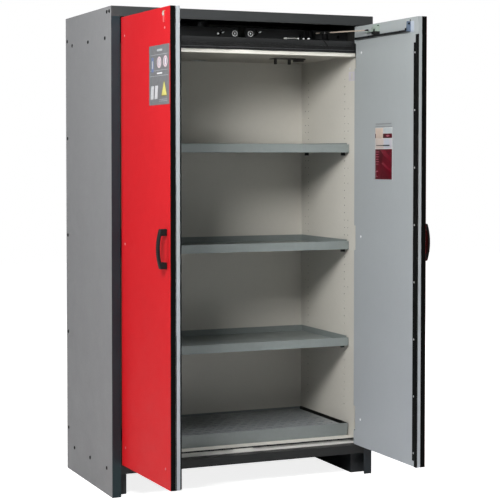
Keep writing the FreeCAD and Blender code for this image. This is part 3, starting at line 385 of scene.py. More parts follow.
# Interior
# The ceiling sheet is the liner's beige painted darker, as shade under the top.
smooth_sheet("sheet_ceiling_painted_shade", (164, 160, 150), vary=0.02, smudge=0.012, rough=0.5,
             wear=EDGE_WEAR_HIGHLIGHT_CREAM, wave=0.0005)
smooth_sheet("sheet_liner", (205, 202, 194), vary=0.02, smudge=0.012, rough=0.5,
             wear=EDGE_WEAR_HIGHLIGHT_CREAM, wave=0.0005)
coat("sheet_flange", (226, 224, 216), vary=0.025, smudge=0.015, wear=(245, 244, 240),
     wear_share=0.4, zones=(([(ALONG_Z, 0.0, 0.62)], (243, 242, 236)),))
coat("paint_shelf", (126, 133, 132), vary=0.04, rough=0.42, wear=(176, 180, 182))
# Near black on the tray's right rim: painted shadow of the gap between tray and wall.
coat("paint_tray", (122, 128, 128), vary=0.04, rough=0.4, wear=(176, 180, 182),
     zones=(([(ALONG_X, 0.5128, 0.6), (ALONG_Y, -0.2085, 0.4)], (14, 14, 14)),))
coat("paint_insert", (124, 128, 130), rough=0.42, wear=(170, 172, 174))
coat("paint_vent", (44, 42, 40), vary=0.08, rough=0.55, wear=(100, 98, 94), wear_share=0.4)
film("wall_film_print", (202, 198, 206), rough=0.4)
plastic("peg_plastic", (22, 22, 22), rough=0.42)

# Closer compartment
# Cover darker towards its lower edge: painted shade.
coat("paint_cover", (40, 41, 42), vary=0.08, rough=0.42, wear=(96, 98, 100), wear_share=0.4,
     fade=(1.8225, 1.8435, (0.45, 0.45, 0.45, 1.0)))
coat("paint_bars", (22, 23, 24), vary=0.08, rough=0.4, wear=(70, 72, 74), wear_share=0.35,
     spec=0.4)
coat("paint_closer", (11, 11, 12), rough=0.7, wear=(50, 52, 54), wear_share=0.25, spec=0.06)
coat("paint_shoe", (14, 15, 16), rough=0.5, wear=(70, 72, 74), wear_share=0.3, spec=0.3,
     zones=(([(ALONG_Z, 1.8668, 1.95)], (140, 154, 144)),
            ([(ALONG_Z, 1.8668, 1.876), (ALONG_Y, -0.505, -0.488)], (40, 48, 46)),
            ([(ALONG_Z, 1.880, 1.95), (ALONG_Y, -0.478, -0.462)], (84, 94, 90))))
coat("paint_shoe_cover", (150, 168, 158), vary=0.06, rough=0.42, wear=(190, 200, 194))

# Sheet edges, holders and the lock plate on the doors
coat("paint_edge", (8, 8, 7), rough=0.6, wear=(44, 46, 48), wear_share=0.15, spec=0.05)
coat("sheet_holder", (138, 142, 144), vary=0.03, rough=0.4, wear=(190, 192, 194))
coat("sheet_cover_cool", (168, 176, 188), vary=0.02, rough=0.4, wear=(205, 208, 212),
     wear_share=0.4)
LOCK_RED = (185, 28, 34)
# Pinkish middle strip: painted highlight down the escutcheon's red bar, with red on either side and
# cream at the top.
coat("paint_lock", (214, 92, 94), vary=0.03, rough=0.35, wear=(226, 150, 148), wear_share=0.6,
     zones=(([(DOOR_ALONG["left"], 0.4, 0.4685)], LOCK_RED),
            ([(DOOR_ALONG["left"], 0.4812, 0.6)], LOCK_RED),
            ([(ALONG_Z, 1.868, 1.95), (DOOR_ALONG["left"], 0.4685, 0.4812)], (150, 132, 104))))

# Rubber and plastic
rubber("seal_rubber", (14, 15, 16))
rubber("strip_rubber", (9, 9, 10), rough=0.66, dusty=0.03, spec=0.12)
rubber("seal_face_grey", (72, 73, 75), rough=0.6)
rubber("cap_plastic", (9, 9, 10), rough=0.7, dusty=0.02, spec=0.06)
plastic("handle_plastic", (12, 15, 16), rough=0.5)

# Metal
BRIGHT = dict(colour=(240, 242, 244), rough=0.4, spangle=0.04, metal=0.15)
steel("washer_steel", (214, 216, 218), rough=0.36, metal=0.2)
steel("pale_rod", (214, 216, 210), rough=0.34, spangle=0.05, metal=0.3)
steel("bright_screw", **BRIGHT)
steel("zinc_steel", (205, 207, 208), rough=0.34, metal=0.5)
steel("nickel_steel", (222, 220, 214), rough=0.28, spangle=0.05, metal=0.6)
steel("duct_steel", (188, 191, 193), rough=0.34, spangle=0.16, metal=1.0, brush=(1, 1, 0.15))

# Board, plate and card
board("mineral_board_grey", (176, 178, 176), speck=(130, 130, 126))
# Near black board seen through the holes of the side liners: painted shade inside the holes.
board("mineral_board_painted_shade", (24, 23, 21), speck=(15, 14, 13))
film("plate_film", (104, 105, 108), rough=0.42)
film("card_film", (200, 202, 202), rough=0.38)


def door_red(side):
    """Red face with dark sheet edges and a hinge-side margin painted as the shadowed gap to the
    jamb.
    """
    dark = (18, 18, 19)
    along = DOOR_ALONG[side]
    # Hinge-side margin: painted shadow of the gap to the jamb, in dark olive strips, black at the
    # top and at the hinge heights.
    margin = (along, -0.02, 0.0195)
    zones = [([(DOOR_DEPTH[side], -0.01505, 0.02)], dark),
             ([(along, 0.011, 0.0195)], (74, 58, 47)),
             ([(along, -0.02, 0.011)], (36, 42, 33))]
    for low, high in ((1.80, 1.95), (0.955, 1.07), (0.225, 0.272)):
        zones.append(([margin, (ALONG_Z, low, high)], dark))
    # Deeper red towards the bottom and paler towards the top: painted shading of the light from
    # above.
    coat("paint_red_" + side, (185, 25, 33), vary=0.012, smudge=0.008, rough=0.5, swing=0.04,
         wear=(214, 100, 100), wear_share=0.25, wave=0.0006, spec=0.15,
         fade=(0.1, 1.95, (1.1, 0.66, 0.7, 1.0)), zones=zones)


def door_inner_sheet(side, colour, zones, fade=None):
    smooth_sheet("sheet_inner_" + side, colour, vary=0.012, smudge=0.01, rough=0.42,
                 wear=(215, 217, 218), wave=0.0007, fade=fade, zones=zones)


def left_inner_zones():
    """Margin at the free edge: cooler grey in four heights, then black steps in the depth."""
    margin = (DOOR_ALONG["left"], 0.5225, 0.6)
    depth = DOOR_DEPTH["left"]
    greys = ((1.3, 2.0, (147, 153, 157)), (0.95, 1.3, (148, 154, 158)),
             (0.6, 0.95, (152, 158, 164)), (0.0, 0.6, (156, 161, 168)))
    zones = [([margin, (ALONG_Z, low, high)], grey) for low, high, grey in greys]
    zones.append(([margin, (depth, 0.0, 0.0069)], BLACK))
    for reach, top in ((0.0079, 1.25), (0.0088, 0.7)):
        zones.append(([margin, (depth, 0.0, reach), (ALONG_Z, 0.0, top)], BLACK))
    return zones


def right_inner_zones():
    """Black in the free-edge margin: one shallow band and one deep band."""
    margin = (DOOR_ALONG["right"], 0.5225, 0.6)
    depth = DOOR_DEPTH["right"]
    return (([margin, (depth, 0.0, 0.0061)], BLACK),
            ([margin, (depth, 0.0191, 0.03), (ALONG_Z, 0.0, 1.8325)], BLACK))


def door_screws(side):
    """Bright screws: grey near the free edge, pink on the outer face."""
    flipped = tuple(-value for value in DOOR_ALONG[side])
    steel("door_screws_" + side, **BRIGHT,
          painted=((flipped, -0.49, (168, 170, 172)),
                   (DOOR_DEPTH[side], -0.0152, (196, 128, 132))))


def closer_arm(side, back_end, front_end):
    steel("arm_steel_" + side, (186, 172, 158), rough=0.36, metal=0.3, brush=(1, 1, 8),
          dark_ends=((back_end, 0.03), (front_end, 0.013)))


for side in SIDES:
    door_red(side)
    door_screws(side)
door_inner_sheet("left", (172, 177, 179), left_inner_zones())
# Right inner sheet painted darker towards the top as shade.
door_inner_sheet("right", (170, 175, 181), right_inner_zones(),
                 fade=(1.95, 0.2, (0.85, 0.865, 0.82, 1.0)))
closer_arm("left", back_end=(-0.390, -0.240), front_end=(-0.4915, -0.4235))
closer_arm("right", back_end=(0.390, -0.240), front_end=(0.4955, -0.4215))
rail("rail_left", x_factor=-LEFT_SIN, y_factor=-LEFT_COS, offset=-0.31003)
rail("rail_right", x_factor=0.0, y_factor=-1.0, offset=HINGE_Y * MM)

# Print colours of the plate and the card
film("print_white", (212, 212, 216))
film("print_pale", (160, 162, 166))
film("print_pinkish", (196, 176, 182), vary=0.08)
film("print_lilac", (140, 130, 142), vary=0.12)
film("print_blue", (92, 104, 140), vary=0.1)
film("print_yellow", (196, 190, 110), vary=0.06)
film("print_dark", (52, 54, 60))
film("print_olive", (112, 108, 50))
film("print_sand", (210, 184, 166), vary=0.06, tint=(190, 176, 166))
film("print_blush", (180, 172, 168), vary=0.06, tint=(194, 180, 172))
film("print_frost", (186, 184, 192), tint=(176, 182, 194))
film("print_wine", (92, 2, 24), rough=0.34, vary=0.14, tint=(56, 0, 10))
film("print_crimson", (108, 5, 32), rough=0.34, vary=0.1)
film("print_rose", (170, 96, 112))
film("print_cool", (180, 187, 190))

# ------------------------------------------------------ looks of CAD pieces
# piece: (material, edge radius in mm or None)
LOOKS = {
    "front_frame": ("paint_frame", 1.2),
    "left_side_panel": ("paint_casing", 0.6),
    "right_side_panel": ("paint_casing", 0.6),
    "top_panel": ("paint_roof", 1.0),
    "back_panel": ("paint_casing", 0.5),
    "bottom_panel": ("paint_base", 0.5),
    "front_beam": ("paint_beam", 0.8),
    "base_frame": ("paint_base", 0.8),
    "side_insulation": ("mineral_board_painted_shade", None),
    "back_insulation": ("mineral_board_grey", None),
    "ceiling_insulation": ("mineral_board_grey", None),
    "floor_insulation": ("mineral_board_grey", None),
    "left_liner": ("sheet_liner", None),
    "right_liner": ("sheet_liner", None),
    "back_liner": ("sheet_liner", None),
    "ceiling_liner": ("sheet_ceiling_painted_shade", None),
    "floor_liner": ("sheet_liner", 0.4),
    "front_flange": ("sheet_flange", 0.4),
    "door_gasket": ("seal_rubber", 0.6),
    "plenum_cover": ("paint_cover", 0.5),
    "closer_bar_left": ("paint_bars", 0.7),
    "closer_bar_right": ("paint_bars", 0.7),
    "closer_housings": ("paint_closer", 0.8),
    "exhaust_spigot": ("duct_steel", None),
    "shelf_1": ("paint_shelf", 0.4),
    "shelf_2": ("paint_shelf", 0.4),
    "shelf_3": ("paint_shelf", 0.4),
    "shelf_supports": ("peg_plastic", None),
    "sump_tray": ("paint_tray", 0.5),
    "sump_insert": ("paint_insert", None),
    "ceiling_vent": ("paint_vent", 0.5),
    "body_rivets": ("paint_rivet", None),
    "lock_escutcheon": ("paint_lock", 0.8),
    "lock_cylinder": ("nickel_steel", None),
    "left_door_plate": ("plate_film", 0.25),
    "right_door_plate": ("card_film", 0.25),
}
for side in SIDES:
    LOOKS.update({
        side + "_door_skin": ("paint_red_" + side, 0.35),
        side + "_door_edge": ("paint_edge", 0.5),
        side + "_door_core": ("mineral_board_grey", 0.8),
        side + "_door_inner_panel": ("sheet_inner_" + side, 0.5),
        side + "_seal_strip": ("strip_rubber", 0.5),
        side + "_door_screws": ("door_screws_" + side, None),
        side + "_handle": ("handle_plastic", 2.6),
        side + "_guide_rail": ("rail_" + side, 0.7),
        side + "_closer_shoe": ("paint_shoe", 1.4),
        side + "_closer_arm": ("arm_steel_" + side, 0.3),
        side + "_hinge_leaves": ("paint_hinge", 0.6),
        side + "_hinge_pins": ("zinc_steel", None),
    })


def soften(ob, radius):
    """Round the folded and cut edges; radius in mm."""
    weld = ob.modifiers.new("weld", "WELD")
    weld.merge_threshold = 0.000002
    flats = ob.modifiers.new("flats", "DECIMATE")
    flats.decimate_type = "DISSOLVE"
    flats.angle_limit = math.radians(0.6)
    bevel = ob.modifiers.new("edge_radius", "BEVEL")
    bevel.width = radius * MM
    bevel.segments = 2
    bevel.limit_method = "ANGLE"
    bevel.angle_limit = math.radians(32.0)
    bevel.use_clamp_overlap = True
    shading = ob.modifiers.new("shading", "WEIGHTED_NORMAL")
    shading.keep_sharp = False
    shading.weight = 90


for name, ob in NODE.items():
    material, radius = LOOKS[name]
    ob.data.materials.clear()
    ob.data.materials.append(MATERIAL[material])
    if radius is not None:
        soften(ob, radius)


# ------------------------------------------------------------- mesh helpers
def in_cabinet(x, y, z):
    return Vector((x * MM, y * MM, z * MM))


def in_left_door(along, depth, z):
    return Vector(((-HINGE_X + LEFT_SIN * along + LEFT_COS * depth) * MM,
                   (HINGE_Y - LEFT_COS * along + LEFT_SIN * depth) * MM, z * MM))


def in_right_door(along, depth, z):
    return Vector(((HINGE_X - depth) * MM, (HINGE_Y - along) * MM, z * MM))


SPACES = {"cabinet": in_cabinet, "left_door": in_left_door, "right_door": in_right_door}

# Where an outline point (a, b) at height h goes when pushed along each axis
PUSH = {
    "x": lambda a, b, h: (h, a, b),
    "y": lambda a, b, h: (a, h, b),
    "z": lambda a, b, h: (a, b, h),
}


def sideways(axis):
    """Unit vector square to the axis."""
    other = Vector((0, 0, 1)) if abs(axis.z) < 0.9 else Vector((1, 0, 0))
    return axis.cross(other).normalized()


class Piece:
    """One mesh made of closed shapes, in millimetres of its body's space.

    The cabinet's space is (x, y, z). A door's is (along, depth, z): outwards from the hinge
    line, then towards the inner face, then up.
    """

    def __init__(self, name, body, slot):
        self.name, self.body, self.slot = name, body, slot
        self.bm = bmesh.new()
        self.materials = []

    def paint(self, before, material):
        """Give the material to all faces made since before."""
        if material not in self.materials:
            self.materials.append(material)
        index = self.materials.index(material)
        for face in self.bm.faces:
            if face not in before:
                face.material_index = index
                face.smooth = True

    def circle(self, centre, side, up, radius, steps):
        turns = [2 * math.pi * k / steps for k in range(steps)]
        return [self.bm.verts.new(centre + (side * math.cos(t) + up * math.sin(t)) * radius)
                for t in turns]

    def bridge(self, first, second):
        """Join two loops; either may be a single vertex."""
        for k in range(max(len(first), len(second))):
            corners = [first[k % len(first)], first[(k + 1) % len(first)],
                       second[(k + 1) % len(second)], second[k % len(second)]]
            self.bm.faces.new(list(dict.fromkeys(corners)))

    def skin(self, loops):
        """Bridge the loops in turn and cap both ends."""
        for first, second in zip(loops, loops[1:]):
            self.bridge(first, second)
        if len(loops[0]) > 1:
            self.bm.faces.new(list(reversed(loops[0])))
        if len(loops[-1]) > 1:
            self.bm.faces.new(loops[-1])

    def prism(self, outline, start, end, material, bevel, push="y", both=False):
        """Outline pushed from start to end, the edges of the end face (or both) rounded."""
        before = set(self.bm.faces)
        low = [self.bm.verts.new(PUSH[push](a, b, start)) for a, b in outline]
        high = [self.bm.verts.new(PUSH[push](a, b, end)) for a, b in outline]
        top = self.bm.faces.new(high)
        bottom = self.bm.faces.new(list(reversed(low)))
        self.bridge(low, high)
        edges = list(top.edges) + (list(bottom.edges) if both else [])
        bmesh.ops.bevel(self.bm, geom=edges, offset=bevel, segments=2, profile=0.6,
                        affect="EDGES", clamp_overlap=True)
        self.paint(before, material)

    def lathe(self, centre, axis, profile, material, steps=32):
        """Turned shape; profile of (radius, height along the axis) from end to end."""
        before = set(self.bm.faces)
        centre, axis = Vector(centre), Vector(axis).normalized()
        side = sideways(axis)
        up = axis.cross(side)
        loops = []
        for radius, height in profile:
            middle = centre + axis * height
            if radius < 1e-6:
                loops.append([self.bm.verts.new(middle)])
            else:
                loops.append(self.circle(middle, side, up, radius, steps))
        self.skin(loops)
        self.paint(before, material)

    def washer(self, centre, axis, inner, outer, height, material, steps=32):
        """Flat ring with chamfered upper edges."""
        before = set(self.bm.faces)
        centre, axis = Vector(centre), Vector(axis).normalized()
        side = sideways(axis)
        up = axis.cross(side)
        shoulder, chamfer = height * 0.7, height * 0.3
        profile = [(inner, 0.0), (outer, 0.0), (outer, shoulder), (outer - chamfer, height),
                   (inner + chamfer, height), (inner, shoulder)]
        loops = [self.circle(centre + axis * rise, side, up, radius, steps)
                 for radius, rise in profile]
        for index, loop in enumerate(loops):
            self.bridge(loop, loops[(index + 1) % len(loops)])
        self.paint(before, material)

    def tube(self, path, radii, material, steps):
        """Round bar along the path, with one radius for each point."""
        before = set(self.bm.faces)
        side = sideways((path[1] - path[0]).normalized())
        loops = []
        for i, point in enumerate(path):
            along = (path[min(i + 1, len(path) - 1)] - path[max(i - 1, 0)]).normalized()
            side = (side - along * side.dot(along)).normalized()
            loops.append(self.circle(point, side, along.cross(side), radii[i], steps))
        self.skin(loops)
        self.paint(before, material)

    def done(self):
        for vert in self.bm.verts:
            vert.co = SPACES[self.body](*vert.co)
        bmesh.ops.recalc_face_normals(self.bm, faces=self.bm.faces)
        mesh = bpy.data.meshes.new(self.name)
        self.bm.to_mesh(mesh)
        self.bm.free()
        for material in self.materials:
            mesh.materials.append(MATERIAL[material])
        mesh.set_sharp_from_angle(angle=math.radians(35.0))
        ob = bpy.data.objects.new(self.name, mesh)
        SCENE.collection.objects.link(ob)
        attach(ob, self.body)


def rounded(a0, a1, b0, b1, radius):
    """Rectangle a0..a1 by b0..b1 with round corners."""
    steps = 5
    out = []
    for a, b, start in ((a1 - radius, b0 + radius, -90), (a1 - radius, b1 - radius, 0),
                        (a0 + radius, b1 - radius, 90), (a0 + radius, b0 + radius, 180)):
        for k in range(steps + 1):
            t = math.radians(start + 90.0 * k / steps)
            out.append((a + radius * math.cos(t), b + radius * math.sin(t)))
    return out


def disc(a, b, radius, steps=40):
    turns = [2 * math.pi * k / steps for k in range(steps)]
    return [(a + radius * math.cos(t), b + radius * math.sin(t)) for t in turns]


def smooth_path(stations):
    """Catmull-Rom curve through the stations."""
    steps = 8
    p = [Vector(station) for station in stations]
    p = [p[0] * 2 - p[1]] + p + [p[-1] * 2 - p[-2]]
    out = []
    for i in range(1, len(p) - 2):
        slope = p[i + 1] - p[i - 1]
        square = 2 * p[i - 1] - 5 * p[i] + 4 * p[i + 1] - p[i + 2]
        cube = 3 * p[i] - p[i - 1] - 3 * p[i + 1] + p[i + 2]
        for k in range(steps):
            t = k / steps
            out.append(0.5 * ((2 * p[i]) + slope * t + square * t * t + cube * t ** 3))
    out.append(p[-2])
    return out


def add_marks(part, face, outward, marks):
    """Thin printed layers on a face; marks are (outline, start, top, print colour, bevel),
    with start and top measured outwards from the face."""
    for outline, start, top, colour, bevel in marks:
        part.prism(outline, face + outward * start, face + outward * top, "print_" + colour,
                   bevel)


SUNK = -0.02  # first printed layers start this far below their face


# -------------------------------------------------- plate on the left door
def left_plate_marks():
    marks = []
    # Two round signs, each with an upright bar
    for s, z in ((421, 1702), (482, 1703)):
        marks += [
            (disc(s, z, 21), SUNK, 0.18, "pinkish", 0.05),
            (disc(s, z, 15), 0.17, 0.3, "lilac", 0.04),
            (rounded(s - 4, s + 4, z - 13, z + 13, 3.8), 0.29, 0.4, "white", 0.03),
        ]
    # Blue sign, text bars and thin rules
    marks += [
        (rounded(344, 366, 1668, 1722, 5), SUNK, 0.18, "blue", 0.05),
        (rounded(349, 361, 1680, 1710, 4), 0.17, 0.28, "pale", 0.03),
        (rounded(400, 452, 1743, 1751, 3.5), SUNK, 0.16, "pale", 0.05),
        (rounded(336, 505, 1730.2, 1731.6, 0.6), SUNK, 0.12, "pale", 0.02),
        (rounded(400, 450, 1659.5, 1664.5, 2.2), SUNK, 0.18, "white", 0.05),
        (rounded(330, 508, 1672.2, 1673.4, 0.5), SUNK, 0.12, "pale", 0.02),
        (rounded(330, 508, 1652.0, 1653.4, 0.6), SUNK, 0.12, "pale", 0.02),
    ]
    # Triangle
    marks += [
        ([(470, 1636), (440, 1577), (500, 1577)], SUNK, 0.16, "olive", 0.04),
        ([(470, 1630), (445, 1580), (495, 1580)], 0.15, 0.28, "yellow", 0.04),
    ]
    # Two groups of three slanted strokes
    for first in (338, 377):
        for k in range(3):
            s = first + 9.5 * k
            stroke = [(s, 1568), (s + 5.5, 1568), (s + 11.5, 1617), (s + 6, 1617)]
            marks.append((stroke, SUNK, 0.18, "white", 0.05))
    # Two rules below the triangle
    for k in range(2):
        rule = rounded(420, 500, 1564.5 - 6 * k, 1565.8 - 6 * k, 0.5)
        marks.append((rule, SUNK, 0.12, "pale", 0.02))
    part = Piece("left_plate_marks", "left_door", "plate_grey")
    add_marks(part, -16.3, -1, marks)
    part.done()


# -------------------------------------------------- card on the right door
def right_card_print():
    marks = [
        # Four fields
        (rounded(183, 246, 1428, 1471, 1), SUNK, 0.12, "sand", 0.03),
        (rounded(183, 252, 1387, 1427, 1), SUNK, 0.12, "blush", 0.03),
        (rounded(248, 320.5, 1428, 1471, 1), SUNK, 0.12, "cool", 0.03),
        (rounded(253, 320.5, 1387, 1427, 1), SUNK, 0.12, "frost", 0.03),
        # Band with a lozenge
        (rounded(247, 321.5, 1430, 1448, 1), 0.1, 0.2, "wine", 0.03),
        (rounded(182, 187, 1430, 1448, 1), 0.1, 0.2, "wine", 0.03),
        ([(268, 1439), (284, 1443.5), (304, 1439), (284, 1434.5)], 0.19, 0.27, "rose", 0.02),
        # Dark text bars
        (rounded(190, 246, 1398.5, 1401.5, 1), 0.1, 0.19, "dark", 0.03),
        (rounded(246, 302, 1397.5, 1402.5, 1), 0.1, 0.19, "dark", 0.03),
        # Lower field with two slanted streaks
        (rounded(182.5, 321.5, 1261.6, 1385, 1.5), SUNK, 0.14, "wine", 0.04),
        ([(226, 1380), (256, 1358), (312, 1334), (317, 1334), (317, 1348), (288, 1364),
          (262, 1382), (228, 1382)], 0.12, 0.19, "crimson", 0.03),
        ([(236, 1326), (282, 1304), (317, 1292), (317, 1300), (286, 1314), (250, 1332)],
         0.12, 0.19, "crimson", 0.03),
    ]
    # Text lines, alternately long and short
    for k in range(6):
        line = rounded(188, 214 - 4 * (k % 2), 1372 - 10.0 * k, 1375 - 10.0 * k, 1)
        marks.append((line, 0.12, 0.2, "rose", 0.03))
    # Small outlined box
    marks += [
        (rounded(188, 206, 1272, 1296, 3), 0.12, 0.2, "rose", 0.03),
        (rounded(191, 206.5, 1275, 1293, 2.5), 0.19, 0.26, "wine", 0.03),
    ]
    part = Piece("right_card_print", "right_door", "plate_grey")
    add_marks(part, 23.3, 1, marks)
    part.done()


INNER_FACE = 22.4  # depth at which pieces on a door's inner sheet start


def right_card_holder():
    """Two cross rails above the card and an upright rail on either side."""
    part = Piece("right_card_holder", "right_door", "inner_grey")
    # outline, depth of the top, material, bevel
    for outline, top, material, bevel in (
            (rounded(184, 316, 1486, 1490.5, 1.5), 23.4, "sheet_holder", 0.3),
            (rounded(182, 322, 1475.5, 1478.5, 1.0), 23.1, "sheet_holder", 0.2),
            (rounded(176, 180, 1258, 1475, 1.0), 23.0, "sheet_inner_right", 0.2),
            (rounded(323.5, 327.5, 1258, 1475, 1.0), 23.0, "sheet_inner_right", 0.2)):
        part.prism(outline, INNER_FACE, top, material, bevel)
    part.done()


# ------------------------------------------ closer compartment small parts
FORWARD, UPWARD = (0, -1, 0), (0, 0, 1)
BAR_FRONT = -186  # y of the closer bars' front face
LEVER_BACK = BAR_FRONT + 0.1


def bar_screws():
    part = Piece("bar_screws", "cabinet", "bright_steel")
    socket_head = [(3.9, 0.0), (3.9, 0.8), (3.3, 2.0), (2.2, 2.6), (1.2, 2.7), (1.0, 1.8), (0, 1.8)]
    for x, z in ((-1, 1866), (70, 1867)):
        part.washer((x, -185.9, z), FORWARD, inner=9.2, outer=12.4, height=1.3,
                    material="washer_steel")
        part.lathe((x, -187.9, z), FORWARD, socket_head, "bright_screw")
    long_head = [(3.6, -3.0), (3.6, 2.2), (3.0, 3.0), (1.6, 3.4), (1.2, 2.5), (0, 2.5)]
    part.lathe((-76, BAR_FRONT, 1863), FORWARD, long_head, "bright_screw")
    dark_head = [(6.5, -0.1), (6.5, 1.4), (5.6, 2.6), (3.2, 3.0), (2.6, 2.2), (0, 2.2)]
    for x in (-300, -480, 300, 480):
        part.lathe((x, BAR_FRONT, 1866), FORWARD, dark_head, "paint_closer")
    part.done()


def release_levers():
    part = Piece("release_levers", "cabinet", "bright_steel")
    # (x, z) from each lever's own centre
    lever = [(-5, -10), (3, -10), (17, 3), (18, 9), (12, 9.5), (2, 3)]
    tip = [(15, 3), (20, 2.5), (26, 6), (27, 9), (22, 8.5), (16, 7)]
    pin = [(2.0, -0.2), (2.0, 0.6), (1.4, 1.2), (0, 1.3)]
    for x, z in ((-76, 1863), (92, 1869)):
        part.prism([(x + a, z + b) for a, b in lever], LEVER_BACK, -187.6, "paint_closer", 0.4)
        part.prism([(x + a, z + b) for a, b in tip], -187.5, -188.6, "washer_steel", 0.3)
        part.lathe((x + 22.5, -188.5, z + 6), FORWARD, pin, "bright_screw", steps=20)
    part.done()


def catch_lever():
    """Pale rod with a knob, beside a plate with two studs and an upright block."""
    part = Piece("catch_lever", "cabinet", "bright_steel")
    knob_end = (224, -214, 1850.5)
    path = smooth_path([knob_end, (246, -213, 1851.5), (268, -212, 1852.0), (282, -211, 1851.0)])
    part.tube(path, [2.6] + [2.0] * (len(path) - 1), "pale_rod", steps=14)
    knob = [(2.6, -1.0), (4.0, 0.5), (4.2, 5.0), (3.4, 10.0), (1.8, 13.0), (0, 13.6)]
    part.lathe(knob_end, (-1, 0, 0), knob, "pale_rod", steps=20)
    part.prism(rounded(266, 326, -236, -204, 4), 1842.9, 1847.5, "paint_closer", 0.6, push="z")
    for x, y, radius in ((271, -230, 2.8), (294, -231, 4.2)):
        stud = [(radius, 0), (radius, 2.2), (radius * 0.8, 4.2), (radius * 0.4, 5.0), (0, 5.1)]
        part.lathe((x, y, 1847.4), UPWARD, stud, "bright_screw", steps=24)
    block = [(300, 1848), (322, 1848), (324, 1858), (322, 1876), (316, 1881), (305, 1881),
             (300, 1870)]
    part.prism(block, -222, -206, "paint_closer", 1.2, both=True)
    part.done()


def housing_caps():
    part = Piece("housing_caps", "cabinet", "bright_steel")
    cap = [(11.2, 0), (11.2, 1.4), (10.0, 2.4), (5.0, 2.8), (4.4, 2.0), (0, 2.0)]
    bright = [(5.6, 0), (5.6, 2.4), (4.4, 4.4), (2.0, 5.0), (0, 5.1)]
    dark = [(4.4, 0), (4.4, 2.4), (3.4, 4.2), (0, 4.6)]
    for mirror in (-1, 1):
        part.lathe((mirror * 335, -210, 1883.9), UPWARD, cap, "paint_closer")
        part.lathe((mirror * 318, -232, 1848.9), UPWARD, bright, "bright_screw", steps=24)
        part.lathe((mirror * 343, -226.5, 1848.9), UPWARD, dark, "paint_closer", steps=24)
    part.done()


def side_caps():
    """Dished caps on the outer face of both side panels."""
    part = Piece("side_caps", "cabinet", "handle_black")
    # (y, z) of each cap
    places = ((-258, 1927), (-288, 1927), (-232, 1825), (-9, 1825), (214, 1825), (287, 1848),
              (287, 1432), (287, 1016), (287, 599), (287, 181), (-240, 107), (-19, 107),
              (201, 107))
    cap = [(7.4, 0.02), (7.4, 0.9), (6.7, 1.7), (5.0, 1.9), (4.2, 1.5), (0, 1.45)]
    for mirror in (-1, 1):
        for y, z in places:
            part.lathe((mirror * 582, y, z), (mirror, 0, 0), cap, "cap_plastic", steps=28)
    part.done()


def upper_seal_strip():
    """Two rubber bands with a grey web between them and three ribs on the upper band."""
    part = Piece("upper_seal_strip", "cabinet", "seal_black")
    half, back = 530.5, -263.95
    for low, high, front in ((1798.9, 1802.6, -266.6), (1805.6, 1820.6, -267.0)):
        part.prism(rounded(-half, half, low, high, 0.8), back, front, "seal_rubber", 0.6)
    part.prism(rounded(-half, half, 1802.3, 1805.9, 0.5), back, -265.4, "seal_face_grey", 0.2)
    for k in range(3):
        z = 1808.6 + 4.0 * k
        part.prism(rounded(-530.0, 530.0, z, z + 1.6, 0.6), -266.9, -267.7, "seal_rubber", 0.3)
    part.done()


def contact_cable():
    """Thin cable running forwards, thicker where it bends down."""
    part = Piece("contact_cable", "cabinet", "seal_black")
    path = smooth_path([
        (345, -197, 1845.0), (352, -215, 1844.6), (360, -238, 1844.4), (365, -250, 1844.3),
        (369, -259, 1844.1), (374, -265.8, 1840), (382, -267.2, 1830), (390, -267.9, 1820.5),
        (396, -268.2, 1811), (398, -268.2, 1806)])
    radii = [1.4 if point.z > 1841.5 else 2.1 for point in path]
    part.tube(path, radii, "seal_rubber", steps=12)
    part.done()


# ---------------------------------------------------- inner wall and doors
def left_seal_lip():
    part = Piece("left_seal_lip", "left_door", "seal_black")
    part.prism(rounded(510, 525.4, 133, 1797, 2), 24.9, 28.6, "strip_rubber", 0.9)
    part.done()


def wall_film():
    """Printed label and a small disc on the inner face of the right wall."""
    part = Piece("wall_film", "cabinet", "plate_grey")
    back = 525.02
    # outline in (y, z), x of the start and of the end, material, bevel
    for outline, start, end, material, bevel in (
            (rounded(-266, -200, 1678, 1717, 3), back, 524.75, "wall_film_print", 0.08),
            (rounded(-236, -222, 1683, 1711, 2), 524.76, 524.6, "sheet_liner", 0.04),
            (disc(-211, 1731, 5.2, steps=28), back, 524.4, "print_white", 0.2)):
        part.prism(outline, start, end, material, bevel, push="x")
    part.done()


def rail_fixings(side):
    part = Piece(side + "_rail_fixings", side + "_door", "bright_steel")
    flat = [(3.6, -0.2), (3.6, 0.2), (2.8, 0.34), (1.4, 0.36), (0, 0.3)]
    for s in (40, 150, 290, 410):
        part.lathe((s, 39.9, 1850), (0, 1, 0), flat, "paint_closer", steps=20)
    part.prism(rounded(452, 462, 1850, 1860, 3), 40.0, 41.6, "paint_closer", 0.4)
    # centre, axis, profile, steps: heads on three faces of the end bracket
    for centre, axis, profile, steps in (
            ((467.1, 31, 1877), (1, 0, 0), [(4.0, -0.2), (4.0, 0.8), (3.0, 1.8), (0, 2.0)], 24),
            ((459.9, 31, 1876), (-1, 0, 0), [(4.6, -0.2), (4.6, 0.6), (3.4, 1.0), (0, 1.0)], 24),
            ((463, 22.45, 1890.5), (0, 1, 0), [(3.4, 0), (3.4, 0.8), (2.6, 1.6), (0, 1.8)], 20)):
        part.lathe(centre, axis, profile, "paint_closer", steps)
    part.done()


def shoe_cover(side):
    part = Piece(side + "_shoe_cover", side + "_door", "inner_grey")
    part.prism(rounded(160, 214, 1886.5, 1897.0, 2.5), INNER_FACE, 23.4, "paint_shoe_cover", 0.3)
    part.prism(rounded(196, 208, 1888.5, 1893.5, 2.0), 23.3, 23.9, "paint_closer", 0.2)
    part.done()


